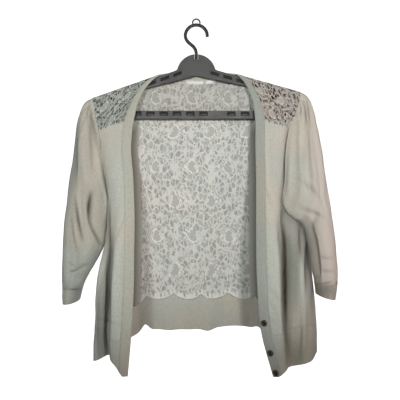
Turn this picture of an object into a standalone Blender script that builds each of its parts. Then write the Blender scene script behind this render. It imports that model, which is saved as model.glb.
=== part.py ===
"""Open cardigan with lace yokes and a lace back, hung on a slotted plastic hanger.

Metres, +Z up. +X is the wearer's left, -Y is the front. The origin is the inside of the hook's crown,
where the hanger rests on a rail. Tables and sizes are in millimetres and are scaled once, in new_mesh.
"""

import math
from collections import namedtuple

import bmesh
import bpy
import numpy as np
from mathutils import Vector

MM = 0.001

# Cloth walls
KNIT_WALL = 1.5
LACE_WALL = 1.2
BAND_LIFT = 0.7
RIB_LIFT = 0.6
SEAM_GAP = 0.3
TURN_GAP = 1.0
TURN_REACH = 32.0
LONGEST_MITRE = 1.6

# Bands and hems
BAND_WIDTH = 20.0
LAP_SHARE = 0.2
LAP_LIFT = 1.9
SCALLOP_DEPTH = 9.0
SCALLOP_COLUMNS = 3

# Hanger
ARM_ROOT_X = 34.0
ARM_ROOT_Z = -89.4
ARM_SLOPE = {-1: 0.35, 1: 0.28}
ARM_UNDER_Z = -103.2
ARM_UNDER_SLOPE = {-1: 0.26, 1: 0.216}
HANGER_HALF = 213.0
ARM_HALF = 2.5
FLANGE_HALF = 6.0
FLANGE_HEIGHT = 3.4
CLOTH_ABOVE_ARM = 3.7
DOME_RADIUS = 41.0
DOME_TOP_Z = -58.4
BAR_TOP_Z = -176.7
BAR_BOTTOM_Z = -193.7
END_WEB = 12.0
SLOT_LENGTH = 18.0
BAR_SLOT_HEIGHT = 8.8
BAR_SLOT_LIP = 1.8
ARM_SLOT_HEIGHT = 7.2
ARM_SLOT_DEPTH = 8.8
ARM_SLOTS_X = (39.0, 66.0, 93.0)
BAR_SLOTS_X = (-123.8, -96.0, -68.2, -40.4, -12.6, 15.2, 73.3, 102.2, 131.0)
DOME_START = 13.0
NOTCH_HALF = 3.8
STEM_NOTCH_Z = -69.6

# Hook
ROD_RADIUS = 3.5
HOOK_RADIUS = 23.1
HOOK_CENTRE_Z = -19.6
HOOK_TIP_ANGLE = -4.0
SWAN_NECK = ((-20.8, -27.5), (-15.0, -34.5), (-6.6, -41.5), (-1.6, -49.0), (-0.2, -55.0), (0.0, -60.0))
STEM_END_Z = -68.6
EYE_RADIUS = 7.7
EYE_ROD = 1.6
EYE_TOP_Z = 17.4
EYE_FOOT_Z = 6.6

# Buttons and labels
BUTTON_RADIUS = 6.5
BUTTON_THICK = 2.6
BUTTON_STEPS = 16
BUTTON_CLEAR = 0.5
BUTTON_ROWS = (9.77, 10.44, 10.9)
LABEL_WALL = 1.0
LABEL_CLEAR = 0.4
LABEL_ROWS = (0.15, 1.0, 1.5)
LABELS = {"neck_label": (-23.0, 17.0), "size_label": (19.0, 36.5)}

# Steps of the cloth grids
PANEL_COLUMNS = 9
NECK_COLUMNS = 12
BAND_COLUMNS = 2

# Rows of the cloth grids, counted down the tables: 0 shoulder, 4 yoke hem, 7 underarm, 10 rib top, 11 hem
ROWS = [
    0, 0.5, 1, 1.5, 2, 3, 4, 4.5, 5, 5.5, 6, 6.33, 6.67,
    7, 7.25, 7.5, 7.75, 8, 8.25, 8.5, 8.75, 9, 9.2, 9.4, 9.6, 9.8,
    10, 10.33, 10.67, 11,
]
YOKE_HEM = ROWS.index(4)
UNDERARM = ROWS.index(7)
UNDERARM_ROW = 5
HEM_ROWS = (10, 11)
RIB_TOP = ROWS.index(HEM_ROWS[0])
RINGS_AT_CAP = 3
RINGS_BELOW = 2

Front = namedtuple("Front", "row edge crest valley flank outer")
Back = namedtuple("Back", "row left_turn left_flat centre right_flat right_turn")
Armhole = namedtuple("Armhole", "row left right")
Ring = namedtuple("Ring", "name outer inner front back")
Fold = namedtuple("Fold", "name start end width depth")
Ripple = namedtuple("Ripple", "x half_width depth rise")
Skin = namedtuple("Skin", "grid sign closed")
Gap = namedtuple("Gap", "loop cells centre shares")

# The shoulder row and the one below it come from the hanger's arm, so only x is given there.
SHOULDER_X = {
    -1: dict(edge=-77.5, crest=-140.0, valley=-170.0, flank=-195.0, outer=-217.0),
    1: dict(edge=84.5, crest=145.0, valley=172.0, flank=196.0, outer=217.0),
}

LEFT_FRONT = (
    Front("collar", (-94, -9, -117), (-146, -9, -139), (-174, -9, -147),
          (-196, -9, -156), (-215, -9, -164)),
    Front("breast", (-117, -13, -152), (-150, -14, -169), (-175, -14, -176),
          (-196, -13, -182), (-211, -10, -189)),
    Front("yoke hem", (-128, -20, -195), (-161, -22, -201), (-178, -21, -206),
          (-191, -18, -212), (-204, -12, -214)),
    Front("chest", (-133, -30, -251), (-161, -34, -252), (-176, -31, -254),
          (-188, -25, -255), (-198, -15, -258)),
    Front("rib cage", (-127, -44, -319), (-154, -50, -320), (-169, -44, -322),
          (-180, -34, -323), (-190, -17, -325)),
    Front("underarm", (-122, -66, -408), (-150, -72, -409), (-168, -58, -410),
          (-181, -40, -411), (-174, 2, -408)),
    Front("waist", (-121, -80, -466), (-156, -90, -465), (-174, -52, -466),
          (-184, -44, -465), (-180, 6, -465)),
    Front("hip", (-120, -96, -530), (-161, -104, -529), (-177, -44, -532),
          (-192, -58, -526), (-201, 8, -531)),
    Front("rib top", (-124, -112, -636), (-163, -113, -630), (-180, -44, -631),
          (-195, -72, -615), (-209, 8, -626)),
    Front("hem", (-129, -118, -697), (-157, -114, -676), (-179, -46, -678),
          (-195, -78, -679), (-211, 8, -690)),
)

RIGHT_FRONT = (
    Front("collar", (98, -9, -116), (145, -9, -135), (170, -9, -143), (193, -9, -149), (215, -9, -156)),
    Front("breast", (115, -13, -150), (149, -14, -165), (172, -14, -172),
          (191, -13, -177), (207, -10, -183)),
    Front("yoke hem", (121, -20, -188), (152, -22, -197), (171, -21, -202),
          (186, -18, -206), (195, -12, -210)),
    Front("chest", (121, -30, -251), (149, -34, -252), (164, -31, -254),
          (176, -25, -255), (186, -15, -256)),
    Front("rib cage", (121, -44, -319), (149, -50, -320), (164, -44, -321),
          (174, -34, -321), (183, -17, -321)),
    Front("underarm", (119, -64, -404), (154, -72, -402), (167, -58, -398),
          (176, -36, -393), (184, 2, -381)),
    Front("waist", (118, -76, -466), (158, -88, -466), (174, -40, -460), (196, -50, -448), (234, 44, -420)),
    Front("hip", (119, -88, -531), (160, -103, -530), (174, -44, -532), (204, -60, -525), (249, 40, -510)),
    Front("rib top", (127, -96, -625), (163, -113, -619), (177, -50, -624),
          (211, -72, -612), (254, 8, -627)),
    Front("hem", (148, -104, -703), (166, -114, -692), (190, -60, -696), (214, -78, -686), (254, 4, -684)),
)

BACK = (
    Back("collar", (-166, 9, -146), (-98, 10, -123), (0, 13, -126), (103, 10, -123), (166, 9, -142)),
    Back("breast", (-166, 12, -167), (-98, 14, -147), (0, 15, -151), (101, 14, -147), (165, 12, -163)),
    Back("yoke hem", (-167, 15, -202), (-101, 19, -193), (0, 19, -195), (102, 19, -193), (161, 15, -200)),
    Back("chest", (-163, 17, -249), (-104, 24, -244), (0, 22, -244), (102, 24, -244), (155, 17, -249)),
    Back("rib cage", (-159, 19, -317), (-104, 31, -312), (0, 27, -312), (103, 31, -312), (153, 19, -317)),
    Back("underarm", (-155, 22, -409), (-106, 39, -399), (0, 33, -396), (104, 39, -397), (155, 22, -394)),
    Back("waist", (-160, 24, -463), (-106, 43, -451), (0, 36, -446), (108, 43, -449), (169, 28, -456)),
    Back("hip", (-173, 28, -527), (-106, 46, -508), (0, 40, -503), (112, 46, -506), (189, 32, -525)),
    Back("rib top", (-179, 30, -616), (-102, 50, -585), (0, 44, -582), (115, 50, -583), (198, 34, -616)),
    Back("hem", (-179, 30, -678), (-102, 52, -649), (0, 46, -645), (115, 52, -642), (198, 34, -677)),
)

BACK_ARMHOLE = (
    Armhole("collar", (-217, 9, -163), (217, 9, -155)),
    Armhole("breast", (-214, 11, -188), (210, 11, -182)),
    Armhole("yoke hem", (-206, 12, -214), (198, 12, -210)),
    Armhole("chest", (-200, 13, -257), (189, 13, -255)),
    Armhole("rib cage", (-192, 12, -324), (184, 12, -319)),
)

RIPPLE_TOP_Z = -500.0
RIPPLE_RUN = 120.0
RISE_TOP_Z = -600.0
RISE_RUN = 45.0
NECK_DROP = np.array([0.0, 0.6, -6.0])
NECK_SEAM = ((-83, 9.0, -105.5), (0, 13.5, -110.0), (89, 9.0, -104.5))
NECK_EDGE = ((-65, 8.5, -97.0), (0, 12.5, -97.5), (71, 8.5, -96.5))

LEFT_SLEEVE = (
    Ring("cap", (-231, -157), (-184, -413), -28, 22),
    Ring("crown", (-246, -186), (-187, -436), -38, 30),
    Ring("upper", (-257, -256), (-194, -462), -44, 36),
    Ring("mid", (-267, -330), (-204, -482), -46, 40),
    Ring("elbow", (-275, -404), (-215, -501), -47, 43),
    Ring("forearm", (-279, -472), (-227, -522), -47, 45),
    Ring("cuff top", (-280, -546), (-239, -547), -46, 46),
    Ring("cuff end", (-277, -578), (-246, -574), -44, 44),
)

RIGHT_SLEEVE = (
    Ring("cap", (232, -146), (193, -387), -28, 22),
    Ring("crown", (244, -168), (202, -400), -38, 28),
    Ring("upper", (255, -217), (219, -411), -44, 32),
    Ring("mid", (264, -270), (229, -429), -47, 34),
    Ring("elbow", (273, -332), (235, -455), -50, 36),
    Ring("bend", (283, -395), (238, -486), -52, 38),
    Ring("forearm", (291, -464), (244, -515), -52, 40),
    Ring("cuff top", (294, -534), (250, -538), -50, 42),
    Ring("cuff end", (289, -569), (252, -561), -48, 40),
)

PLEATS = dict(first=1.8, pitch=0.2, count=4, depth=2.0, length=70.0)

LEFT_SLEEVE_FOLDS = (
    Fold("elbow hollow", (0.22, 0.42), (0.34, 0.66), 0.07, -9.0),
    Fold("outer pull", (0.10, 0.40), (0.24, 0.78), 0.05, -5.0),
    Fold("cuff break", (0.08, 0.90), (0.36, 0.78), 0.04, -4.0),
)
RIGHT_SLEEVE_FOLDS = (
    Fold("long fall", (0.12, 0.12), (0.22, 0.55), 0.05, -6.0),
    Fold("elbow pull", (0.34, 0.46), (0.12, 0.58), 0.05, -5.0),
    Fold("cuff break", (0.10, 0.92), (0.32, 0.84), 0.04, -4.0),
)

# Ripples of the back hem: place across, half width, depth towards the front and rise of the hem's edge.
HEM_RIPPLES = (
    Ripple(-128, 12, -9, 0),
    Ripple(-112, 10, 0, 15),
    Ripple(-60, 22, 6, -3),
    Ripple(-20, 16, -4, -2),
    Ripple(26, 14, 6, -5),
    Ripple(62, 20, -8, -3),
    Ripple(96, 16, 6, 1),
    Ripple(134, 10, 3, 8),
)

# Drop of each front's corner below the line of its hem, how far from the edge and how wide
HEM_TIP = {-1: 10.0, 1: 5.0}
HEM_TIP_PLACE = 15.0
HEM_TIP_WIDTH = 11.0

# Lace repeat: lines of drops, every second line moved half a pitch across
DROP_PITCH_ACROSS = 76.0
DROP_PITCH_DOWN = 72.4
DROP_FIRST_Z = -150.0
DROP_LINES = 6
DROP_SIDE = 7.2
DROP_TIP = 5.8
DROP_FOOT = 1.4
DROP_LEAN = 0.45
YOKE_SHARES = (0.52, 0.64, 0.58)
# Direction that decides which diagonal splits a rim, the same on both sides of a seam
RIM_SLANT = np.array([0.37, 0.11, 1.0])

BLOCK_STEPS = ((-1, -1), (-1, 0), (-1, 1), (0, 1), (1, 1), (1, 0), (1, -1), (0, -1))


def smooth(knots, values, at):
    """Reads the smooth curve through values at the knots: cubic pieces, slopes from the neighbours."""
    knots = np.asarray(knots, float)
    values = np.asarray(values, float)
    at = np.atleast_1d(np.asarray(at, float))
    slopes = np.gradient(values, knots, axis=0)
    i = np.clip(np.searchsorted(knots, at, side="right") - 1, 0, len(knots) - 2)
    wide = (-1,) + (1,) * (values.ndim - 1)
    h = (knots[i + 1] - knots[i]).reshape(wide)
    t = (at - knots[i]).reshape(wide) / h
    start = (1 + 2 * t) * (1 - t) ** 2 * values[i] + t * (1 - t) ** 2 * h * slopes[i]
    end = t * t * (3 - 2 * t) * values[i + 1] + t * t * (t - 1) * h * slopes[i + 1]
    return start + end


def chord_knots(points):
    """Knots for a row of points, spaced by the distances between them."""
    steps = np.linalg.norm(np.diff(points, axis=0), axis=-1)
    while steps.ndim > 1:
        steps = steps.mean(axis=-1)
    return np.concatenate([[0.0], np.cumsum(steps)])


def read_rows(table, rows):
    """Stations of the table at fractional row numbers, smooth from row to row."""
    knots = chord_knots(table)
    return smooth(knots, table, np.interp(rows, range(len(table)), knots))


def arm_top(x):
    """Height of the hanger arm's top edge."""
    side = -1 if x < 0 else 1
    return ARM_ROOT_Z - ARM_SLOPE[side] * (abs(x) - ARM_ROOT_X)


def arm_under(x):
    """Height of the hanger arm's lower edge."""
    side = -1 if x < 0 else 1
    return ARM_UNDER_Z - ARM_UNDER_SLOPE[side] * abs(x)


def over_arm(x):
    """A point of the cloth on top of the arm."""
    return (x, 0.0, arm_top(x) + CLOTH_ABOVE_ARM)


def beside_arm(x, side):
    """A point of the cloth where it turns down over the arm, in front (-1) or behind (1)."""
    return (x, 7.0 * side, arm_top(x) + CLOTH_ABOVE_ARM - 2.2)


def front_table(side):
    """Station points of one front, from the shoulder row to the hem."""
    xs = [SHOULDER_X[side][name] for name in Front._fields[1:]]
    rows = [[over_arm(x) for x in xs], [beside_arm(x, -1) for x in xs]]
    rows += [list(row[1:]) for row in (LEFT_FRONT if side < 0 else RIGHT_FRONT)]
    return np.array(rows, float)


def front_grid(side, rows):
    """Points of one front: band columns from the edge, then panel columns to the armhole or side."""
    grid = []
    for row, points in zip(rows, read_rows(front_table(side), rows)):
        knots = chord_knots(points)
        curve = smooth(knots, points, np.linspace(0, knots[-1], 97))
        lengths = chord_knots(curve)
        places = np.concatenate([
            np.linspace(0, BAND_WIDTH, BAND_COLUMNS + 1)[:-1],
            np.linspace(BAND_WIDTH, lengths[-1], PANEL_COLUMNS + 1),
        ])
        line = between_rows(curve, lengths, places)
        line[:, 2] -= hem_tip(side, row, places)
        grid.append(line)
    return np.array(grid)


def hem_tip(side, row, places):
    """How far a front's corner hangs below the line of its hem, at places along a row of the rib."""
    share = max(0.0, row - HEM_ROWS[0]) ** 2
    return HEM_TIP[side] * share * np.exp(-(((places - HEM_TIP_PLACE) / HEM_TIP_WIDTH) ** 2))


def between_rows(values, rows, places):
    """Values read straight between the rows they are given at, at the places asked for."""
    values = np.asarray(values, float)
    flat = values.reshape(len(values), -1)
    read = np.stack([np.interp(places, rows, column) for column in flat.T], axis=1)
    return read.reshape(-1, *values.shape[1:])


def back_table(fronts):
    """Station points of the back, side seam to side seam, from the shoulder row to the hem."""
    outer = {side: front_table(side)[:, -1] for side in (-1, 1)}
    neck = [fronts[side][0, BAND_COLUMNS] for side in (-1, 1)]
    middle = NECK_SEAM[1]
    half = [(neck[0] + outer[-1][0]) / 2, (neck[1] + outer[1][0]) / 2]
    top = [outer[-1][0], half[0], neck[0], middle, neck[1], half[1], outer[1][0]]
    brow = [beside_arm(point[0], 1) for point in top]
    brow[3] = tuple(np.array(middle) + NECK_DROP)
    rows = [top, brow]
    for k, row in enumerate(BACK):
        seams = Armhole(row.row, outer[-1][k + 2], outer[1][k + 2])
        if k < len(BACK_ARMHOLE):
            seams = BACK_ARMHOLE[k]
        rows.append([seams.left, *row[1:], seams.right])
    return np.array(rows, float)


def hem_ripple(grid):
    """Moves the back's lower part to and fro in depth and its edge up and down, fading out upwards."""
    fade = np.clip((RIPPLE_TOP_Z - grid[..., 2]) / RIPPLE_RUN, 0, 1) ** 2
    low = np.clip((RISE_TOP_Z - grid[..., 2]) / RISE_RUN, 0, 1)
    for ripple in HEM_RIPPLES:
        bump = np.exp(-(((grid[..., 0] - ripple.x) / ripple.half_width) ** 2))
        grid[..., 1] -= ripple.depth * fade * bump
        grid[..., 2] += ripple.rise * low * bump


def back_grid(rows, fronts):
    """Points of the back: shoulder, neck and shoulder columns, seam to seam, shared with the fronts."""
    half = PANEL_COLUMNS / 2
    knots = np.cumsum([0, half, half, NECK_COLUMNS / 2, NECK_COLUMNS / 2, half, half])
    columns = np.arange(2 * PANEL_COLUMNS + NECK_COLUMNS + 1, dtype=float)
    columns[PANEL_COLUMNS:-PANEL_COLUMNS] = PANEL_COLUMNS + NECK_COLUMNS * neck_shares()
    grid = np.array([smooth(knots, points, columns) for points in read_rows(back_table(fronts), rows)])
    hem_ripple(grid)
    left, right = fronts[-1][0, BAND_COLUMNS:], fronts[1][0, BAND_COLUMNS:]
    grid[0, :PANEL_COLUMNS + 1] = left[::-1]
    grid[0, -PANEL_COLUMNS - 1:] = right
    neck = slice(PANEL_COLUMNS, -PANEL_COLUMNS)
    grid[0, neck] = neck_curve(left[0], NECK_SEAM, right[0])
    corner = np.abs(np.linspace(-1, 1, NECK_COLUMNS + 1))[:, None] ** 8
    for k in range(1, ROWS.index(1.5) + 1):
        fall = (1 - corner) * NECK_DROP * rows[k] + corner * (grid[k, neck] - grid[0, neck])
        grid[k, neck] = grid[0, neck] + fall
    grid[UNDERARM:, 0] = fronts[-1][UNDERARM:, -1]
    grid[UNDERARM:, -1] = fronts[1][UNDERARM:, -1]
    return grid


def neck_shares():
    """Shares of the way across the back neck, closer together near the shoulders."""
    even = np.linspace(0, 1, NECK_COLUMNS + 1)
    return (even + (1 - np.cos(math.pi * even)) / 2) / 2


def neck_curve(left, bends, right):
    """The back neck's curve from one shoulder to the other."""
    points = np.array([left, *bends, right], float)
    knots = chord_knots(points)
    curve = smooth(knots, points, knots[-1] * neck_shares())
    curve[0], curve[-1] = left, right
    return curve


def neck_band_grid(fronts):
    """Points of the back neck band, from its free edge down to its seam."""
    left, right = (fronts[side][0, :BAND_COLUMNS + 1] for side in (-1, 1))
    edge = neck_curve(left[0], NECK_EDGE, right[0])
    seam = neck_curve(left[-1], NECK_SEAM, right[-1])
    grid = np.array([edge + (seam - edge) * share for share in np.linspace(0, 1, BAND_COLUMNS + 1)])
    grid[:, 0], grid[:, -1] = left, right
    return grid


def armhole_places(rows):
    """Where the sleeve's points lie on the front armhole, by row number: every row, and each pleat's."""
    pleats = PLEATS["first"] + PLEATS["pitch"] * np.arange(2 * PLEATS["count"] + 1)
    return np.unique(np.round(np.concatenate([rows, pleats]), 4))


def around_oval(points):
    """Angles from 0 to pi for the points of a seam, even in length and in height by halves."""
    share = chord_knots(points) / chord_knots(points)[-1]
    return (math.pi * share + np.arccos(1 - 2 * share)) / 2


def sleeve_rings(side, front_seam, back_seam):
    """The sleeve's rings and the angle of each of their points.

    The first ring is the armhole: shoulder tip, front seam, underarm, back seam. Each later ring is an
    oval between its outer and inner contour points, as deep in front and behind as the table says.
    """
    table = LEFT_SLEEVE if side < 0 else RIGHT_SLEEVE
    turn = np.concatenate([around_oval(front_seam), math.pi + around_oval(back_seam[::-1])[1:-1]])
    rings = [np.concatenate([front_seam, back_seam[-2:0:-1]])]
    for ring in table:
        outer = np.array([ring.outer[0], 0, ring.outer[1]], float)
        inner = np.array([ring.inner[0], 0, ring.inner[1]], float)
        points = (outer + inner) / 2 + np.cos(turn)[:, None] * (outer - inner) / 2
        points[:, 1] = np.where(turn <= math.pi, ring.front, -ring.back) * np.sin(turn)
        rings.append(points)
    return np.array(rings), turn


def sleeve_steps(side):
    """Ring numbers of the sleeve's grid: the table's rings with steps between them."""
    table = LEFT_SLEEVE if side < 0 else RIGHT_SLEEVE
    steps = [0.0]
    for k in range(len(table)):
        between = RINGS_AT_CAP if k == 0 else RINGS_BELOW
        steps += [k + (n + 1) / between for n in range(between)]
    return np.array(steps)


def sleeve_relief(side, grid, steps, turn, places):
    """Height of the pleats and folds over the sleeve's grid."""
    relief = np.zeros(grid.shape[:2])
    from_seam = np.linalg.norm(grid - grid[0], axis=2)
    for n in range(2 * PLEATS["count"] + 1):
        k = int(np.argmin(np.abs(places - PLEATS["first"] - n * PLEATS["pitch"])))
        fade = np.clip(1 - from_seam[:, k] / PLEATS["length"], 0, 1)
        relief[:, k] += (1 if n % 2 else -1) * PLEATS["depth"] * fade
    around = turn / (2 * math.pi)
    down = steps / steps[-1]
    for fold in (LEFT_SLEEVE_FOLDS if side < 0 else RIGHT_SLEEVE_FOLDS):
        relief += fold.depth * near_line(around[None, :], down[:, None], fold)
    relief[0] = 0
    return relief


def near_line(across, down, fold):
    """One on a fold's line from start to end, falling smoothly to nothing a few widths away."""
    start, end = np.array(fold.start), np.array(fold.end)
    run = end - start
    share = np.clip(((across - start[0]) * run[0] + (down - start[1]) * run[1]) / (run @ run), 0, 1)
    off = np.hypot(across - start[0] - share * run[0], down - start[1] - share * run[1])
    return np.exp(-((off / fold.width) ** 2))


def raw_normals(grid, sign, closed):
    """Sums of the face directions at each point of one grid, outwards where sign is right."""
    ring = np.concatenate([grid, grid[:, :1]], axis=1) if closed else grid
    face = sign * np.cross(ring[1:, 1:] - ring[:-1, :-1], ring[1:, :-1] - ring[:-1, 1:])
    total = np.zeros_like(grid)
    here = np.arange(face.shape[1])
    after = (here + 1) % grid.shape[1]
    for rows in (slice(0, -1), slice(1, None)):
        total[rows, here] += face
        total[rows, after] += face
    return total


def shared_normals(skins):
    """Outward directions for every skin, the same for all that meet at a seam.

    At a seam it is the mean direction, made longer so that a wall set off along it keeps its thickness.
    """
    points = np.concatenate([skin.grid.reshape(-1, 3) for skin in skins.values()])
    own = np.concatenate([raw_normals(*skin).reshape(-1, 3) for skin in skins.values()])
    own /= np.linalg.norm(own, axis=1, keepdims=True)
    keys = np.round(points * 100).astype(np.int64)
    unique, back, count = np.unique(keys, axis=0, return_inverse=True, return_counts=True)
    back = back.ravel()
    merged = np.zeros((len(unique), 3))
    np.add.at(merged, back, own)
    merged /= np.linalg.norm(merged, axis=1, keepdims=True)
    along = np.zeros(len(unique))
    np.add.at(along, back, (own * merged[back]).sum(axis=1))
    merged *= np.minimum(LONGEST_MITRE, count / np.maximum(along, 0.1))[:, None]
    ends = np.cumsum([skin.grid.shape[0] * skin.grid.shape[1] for skin in skins.values()])
    parts = np.split(merged[back], ends[:-1])
    return {name: part.reshape(skin.grid.shape) for (name, skin), part in zip(skins.items(), parts)}


def sharp_turns():
    """Places where seams meet on a sharp turn of the cloth: both underarms and both neck corners."""
    underarm = [table[UNDERARM_ROW].outer for table in (LEFT_FRONT, RIGHT_FRONT)]
    corners = [over_arm(SHOULDER_X[side]["edge"] + side * BAND_WIDTH) for side in (-1, 1)]
    return np.array([*underarm, *corners], float)


def seam_gap(points):
    """Width of the gap at the points of a seam, wider at sharp turns so that walls stay apart."""
    away = np.linalg.norm(points[:, None] - sharp_turns()[None], axis=2).min(axis=1)
    return SEAM_GAP + TURN_GAP * np.clip(1 - away / TURN_REACH, 0, 1)[:, None]


def pulled_in(grid, normal, sides):
    """The grid with the named sides drawn back from the seam by half its gap, square to the wall."""
    grid = grid.copy()
    lines = {
        "top": (grid[0], grid[1], normal[0]), "bottom": (grid[-1], grid[-2], normal[-1]),
        "left": (grid[:, 0], grid[:, 1], normal[:, 0]), "right": (grid[:, -1], grid[:, -2], normal[:, -1]),
    }
    for side in sides:
        edge, inside, out = lines[side]
        way = inside - edge
        out = out / np.linalg.norm(out, axis=-1, keepdims=True)
        way = way - out * (way * out).sum(axis=-1, keepdims=True)
        edge += way / np.linalg.norm(way, axis=-1, keepdims=True) * seam_gap(edge) / 2
    return grid


def new_material(name, colour, roughness, metallic=0.0):
    """A plain finish for one kind of piece."""
    material = bpy.data.materials.new(name)
    material.use_nodes = True
    shader = material.node_tree.nodes["Principled BSDF"]
    shader.inputs["Base Color"].default_value = (*colour, 1.0)
    shader.inputs["Roughness"].default_value = roughness
    shader.inputs["Metallic"].default_value = metallic
    material.diffuse_color = (*colour, 1.0)
    return material


def new_mesh(name, vertices, faces, material, collection):
    """A named object from points in millimetres, its faces turned outwards."""
    mesh = bpy.data.meshes.new(name)
    mesh.from_pydata((np.asarray(vertices) * MM).tolist(), [], faces)
    build = bmesh.new()
    build.from_mesh(mesh)
    loose = [vertex for vertex in build.verts if not vertex.link_faces]
    bmesh.ops.delete(build, geom=loose, context="VERTS")
    bmesh.ops.recalc_face_normals(build, faces=build.faces)
    build.to_mesh(mesh)
    build.free()
    mesh.materials.append(material)
    thing = bpy.data.objects.new(name, mesh)
    collection.objects.link(thing)
    return thing


def block_loop(i, j):
    """The eight grid points around a grid point, in turn."""
    return [(i + a, j + b) for a, b in BLOCK_STEPS]


def cell_loop(i, j):
    """The four corners of a grid cell, in turn."""
    return [(i, j), (i, j + 1), (i + 1, j + 1), (i + 1, j)]


def skin_faces(rows, columns, closed, shut):
    """Two triangles for each open cell of a grid."""
    faces = []
    for i in range(rows - 1):
        for j in range(columns if closed else columns - 1):
            if (i, j) in shut:
                continue
            a, b = i * columns + j, i * columns + (j + 1) % columns
            faces.append([a, b, b + columns])
            faces.append([a, b + columns, a + columns])
    return faces


def rim_edges(rows, columns, closed):
    """Edges around the border of a grid, as pairs of point numbers."""
    last = (rows - 1) * columns
    turns = range(columns if closed else columns - 1)
    edges = [(j, (j + 1) % columns) for j in turns]
    edges += [(last + (j + 1) % columns, last + j) for j in turns]
    if not closed:
        edges += [((i + 1) * columns, i * columns) for i in range(rows - 1)]
        edges += [(i * columns + columns - 1, (i + 1) * columns + columns - 1) for i in range(rows - 1)]
    return edges


def wall(name, skin, normal, below, above, look, closed=False, gaps=()):
    """A cloth wall: the skin moved out by above and in by below along its outward directions.

    Each gap is a loop of grid points, the cells it opens, its centre's weights and, for each loop point,
    the share of the way from the centre at which the gap's own rim lies.
    """
    rows, columns = skin.shape[:2]
    above = np.asarray(above, float)
    layers = skin + normal * (above[:, None, None] if above.ndim else above), skin - normal * below
    size = rows * columns
    vertices = [*layers[0].reshape(-1, 3), *layers[1].reshape(-1, 3)]
    shut = {cell for gap in gaps for cell in gap.cells}
    faces = skin_faces(rows, columns, closed, shut)
    faces += [[size + k for k in reversed(face)] for face in faces]
    slant = layers[0].reshape(-1, 3) @ RIM_SLANT
    for a, b in rim_edges(rows, columns, closed):
        if slant[a] > slant[b]:
            faces += [[b, a, size + b], [a, size + a, size + b]]
        else:
            faces += [[b, a, size + a], [b, size + a, size + b]]
    for gap in gaps:
        base, count = len(vertices), len(gap.loop)
        for layer in layers:
            corners = np.array([layer[i, j] for i, j in gap.loop])
            middle = layer[gap.centre] if gap.centre else corners.mean(axis=0)
            vertices += list(middle + (corners - middle) * np.array(gap.shares)[:, None])
        ring = [i * columns + j for i, j in gap.loop]
        for k in range(count):
            n = (k + 1) % count
            a, b = ring[k], ring[n]
            faces += [[a, b, base + n], [a, base + n, base + k]]
            under = base + count
            faces += [[size + b, size + a, under + k], [size + b, under + k, under + n]]
            faces += [[base + k, base + n, under + n], [base + k, under + n, under + k]]
    return new_mesh(name, vertices, faces, *look)


def drop_reach(x, z, lean):
    """How far a lace drop reaches from its centre in the direction x, z; its tip points up and leans."""
    tip = Vector((lean * DROP_LEAN, 1.0)).normalized()
    towards = tip.dot(Vector((x, z)).normalized())
    return DROP_SIDE + DROP_TIP * max(0.0, towards) ** 2 + DROP_FOOT * max(0.0, -towards)


def back_gaps(grid):
    """The large drops of the lace repeat, opened around the nearest grid points of the back."""
    gaps, taken = [], set()
    for line in range(DROP_LINES):
        z = DROP_FIRST_Z - line * DROP_PITCH_DOWN
        for k in range(-3, 4):
            x = (k + (0.5 if line % 2 else 0.0)) * DROP_PITCH_ACROSS
            away = np.hypot(grid[..., 0] - x, grid[..., 2] - z)
            i, j = (int(n) for n in np.unravel_index(np.argmin(away), away.shape))
            loop = block_loop(i, j)
            inside = 2 <= i < len(grid) - 3 and 2 <= j < grid.shape[1] - 2
            if not inside or away[i, j] > DROP_PITCH_ACROSS / 3 or taken & set(loop):
                continue
            taken.update(loop)
            shares = []
            for a, b in loop:
                dx, dz = grid[a, b, 0] - grid[i, j, 0], grid[a, b, 2] - grid[i, j, 2]
                shares.append(min(0.8, drop_reach(dx, dz, 1 if line % 2 else -1) / math.hypot(dx, dz)))
            cells = [(i - 1, j - 1), (i - 1, j), (i, j - 1), (i, j)]
            gaps.append(Gap(loop, cells, (i, j), shares))
    return gaps


def yoke_gaps(rows, columns):
    """Uneven openings between the yoke's motifs, one to a grid cell."""
    gaps = []
    for i in range(1, rows - 1):
        for j in range(columns - 1):
            if (2 * i + j) % 5:
                share = YOKE_SHARES[(i + 2 * j) % len(YOKE_SHARES)]
                gaps.append(Gap(cell_loop(i, j), [(i, j)], None, [share] * 4))
    return gaps


def cloth_skins():
    """The shared skins of the garment, and what each sleeve needs beside its grid."""
    fronts = {-1: front_grid(-1, ROWS), 1: front_grid(1, ROWS)}
    back = back_grid(ROWS, fronts)
    skins = {
        "front_left": Skin(fronts[-1], 1, False),
        "front_right": Skin(fronts[1], -1, False),
        "back": Skin(back, 1, False),
        "neck": Skin(neck_band_grid(fronts), 1, False),
    }
    rows = ROWS[:UNDERARM + 1]
    places = armhole_places(rows)
    for name, side in (("sleeve_left", -1), ("sleeve_right", 1)):
        seam = between_rows(fronts[side][:UNDERARM + 1, -1], rows, places)
        back_seam = back[:UNDERARM + 1, 0 if side < 0 else -1]
        rings, turn = sleeve_rings(side, seam, back_seam)
        steps = sleeve_steps(side)
        grid = read_rows(rings, steps)
        out = raw_normals(grid, side, True)
        out /= np.linalg.norm(out, axis=2, keepdims=True)
        grid = grid + out * sleeve_relief(side, grid, steps, turn, places)[..., None]
        skins[name] = Skin(grid, side, True)
    normals = shared_normals(skins)
    for word, column in (("left", 0), ("right", -1)):
        seam = normals["front_" + word][:UNDERARM + 1, -1]
        underarm = seam[-2] + normals["back"][UNDERARM - 1, column]
        seam[-1] = underarm / np.linalg.norm(underarm)
        normals["back"][UNDERARM, column] = seam[-1]
        normals["sleeve_" + word][0, :len(places)] = between_rows(seam, rows, places)
    return skins, normals


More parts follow.
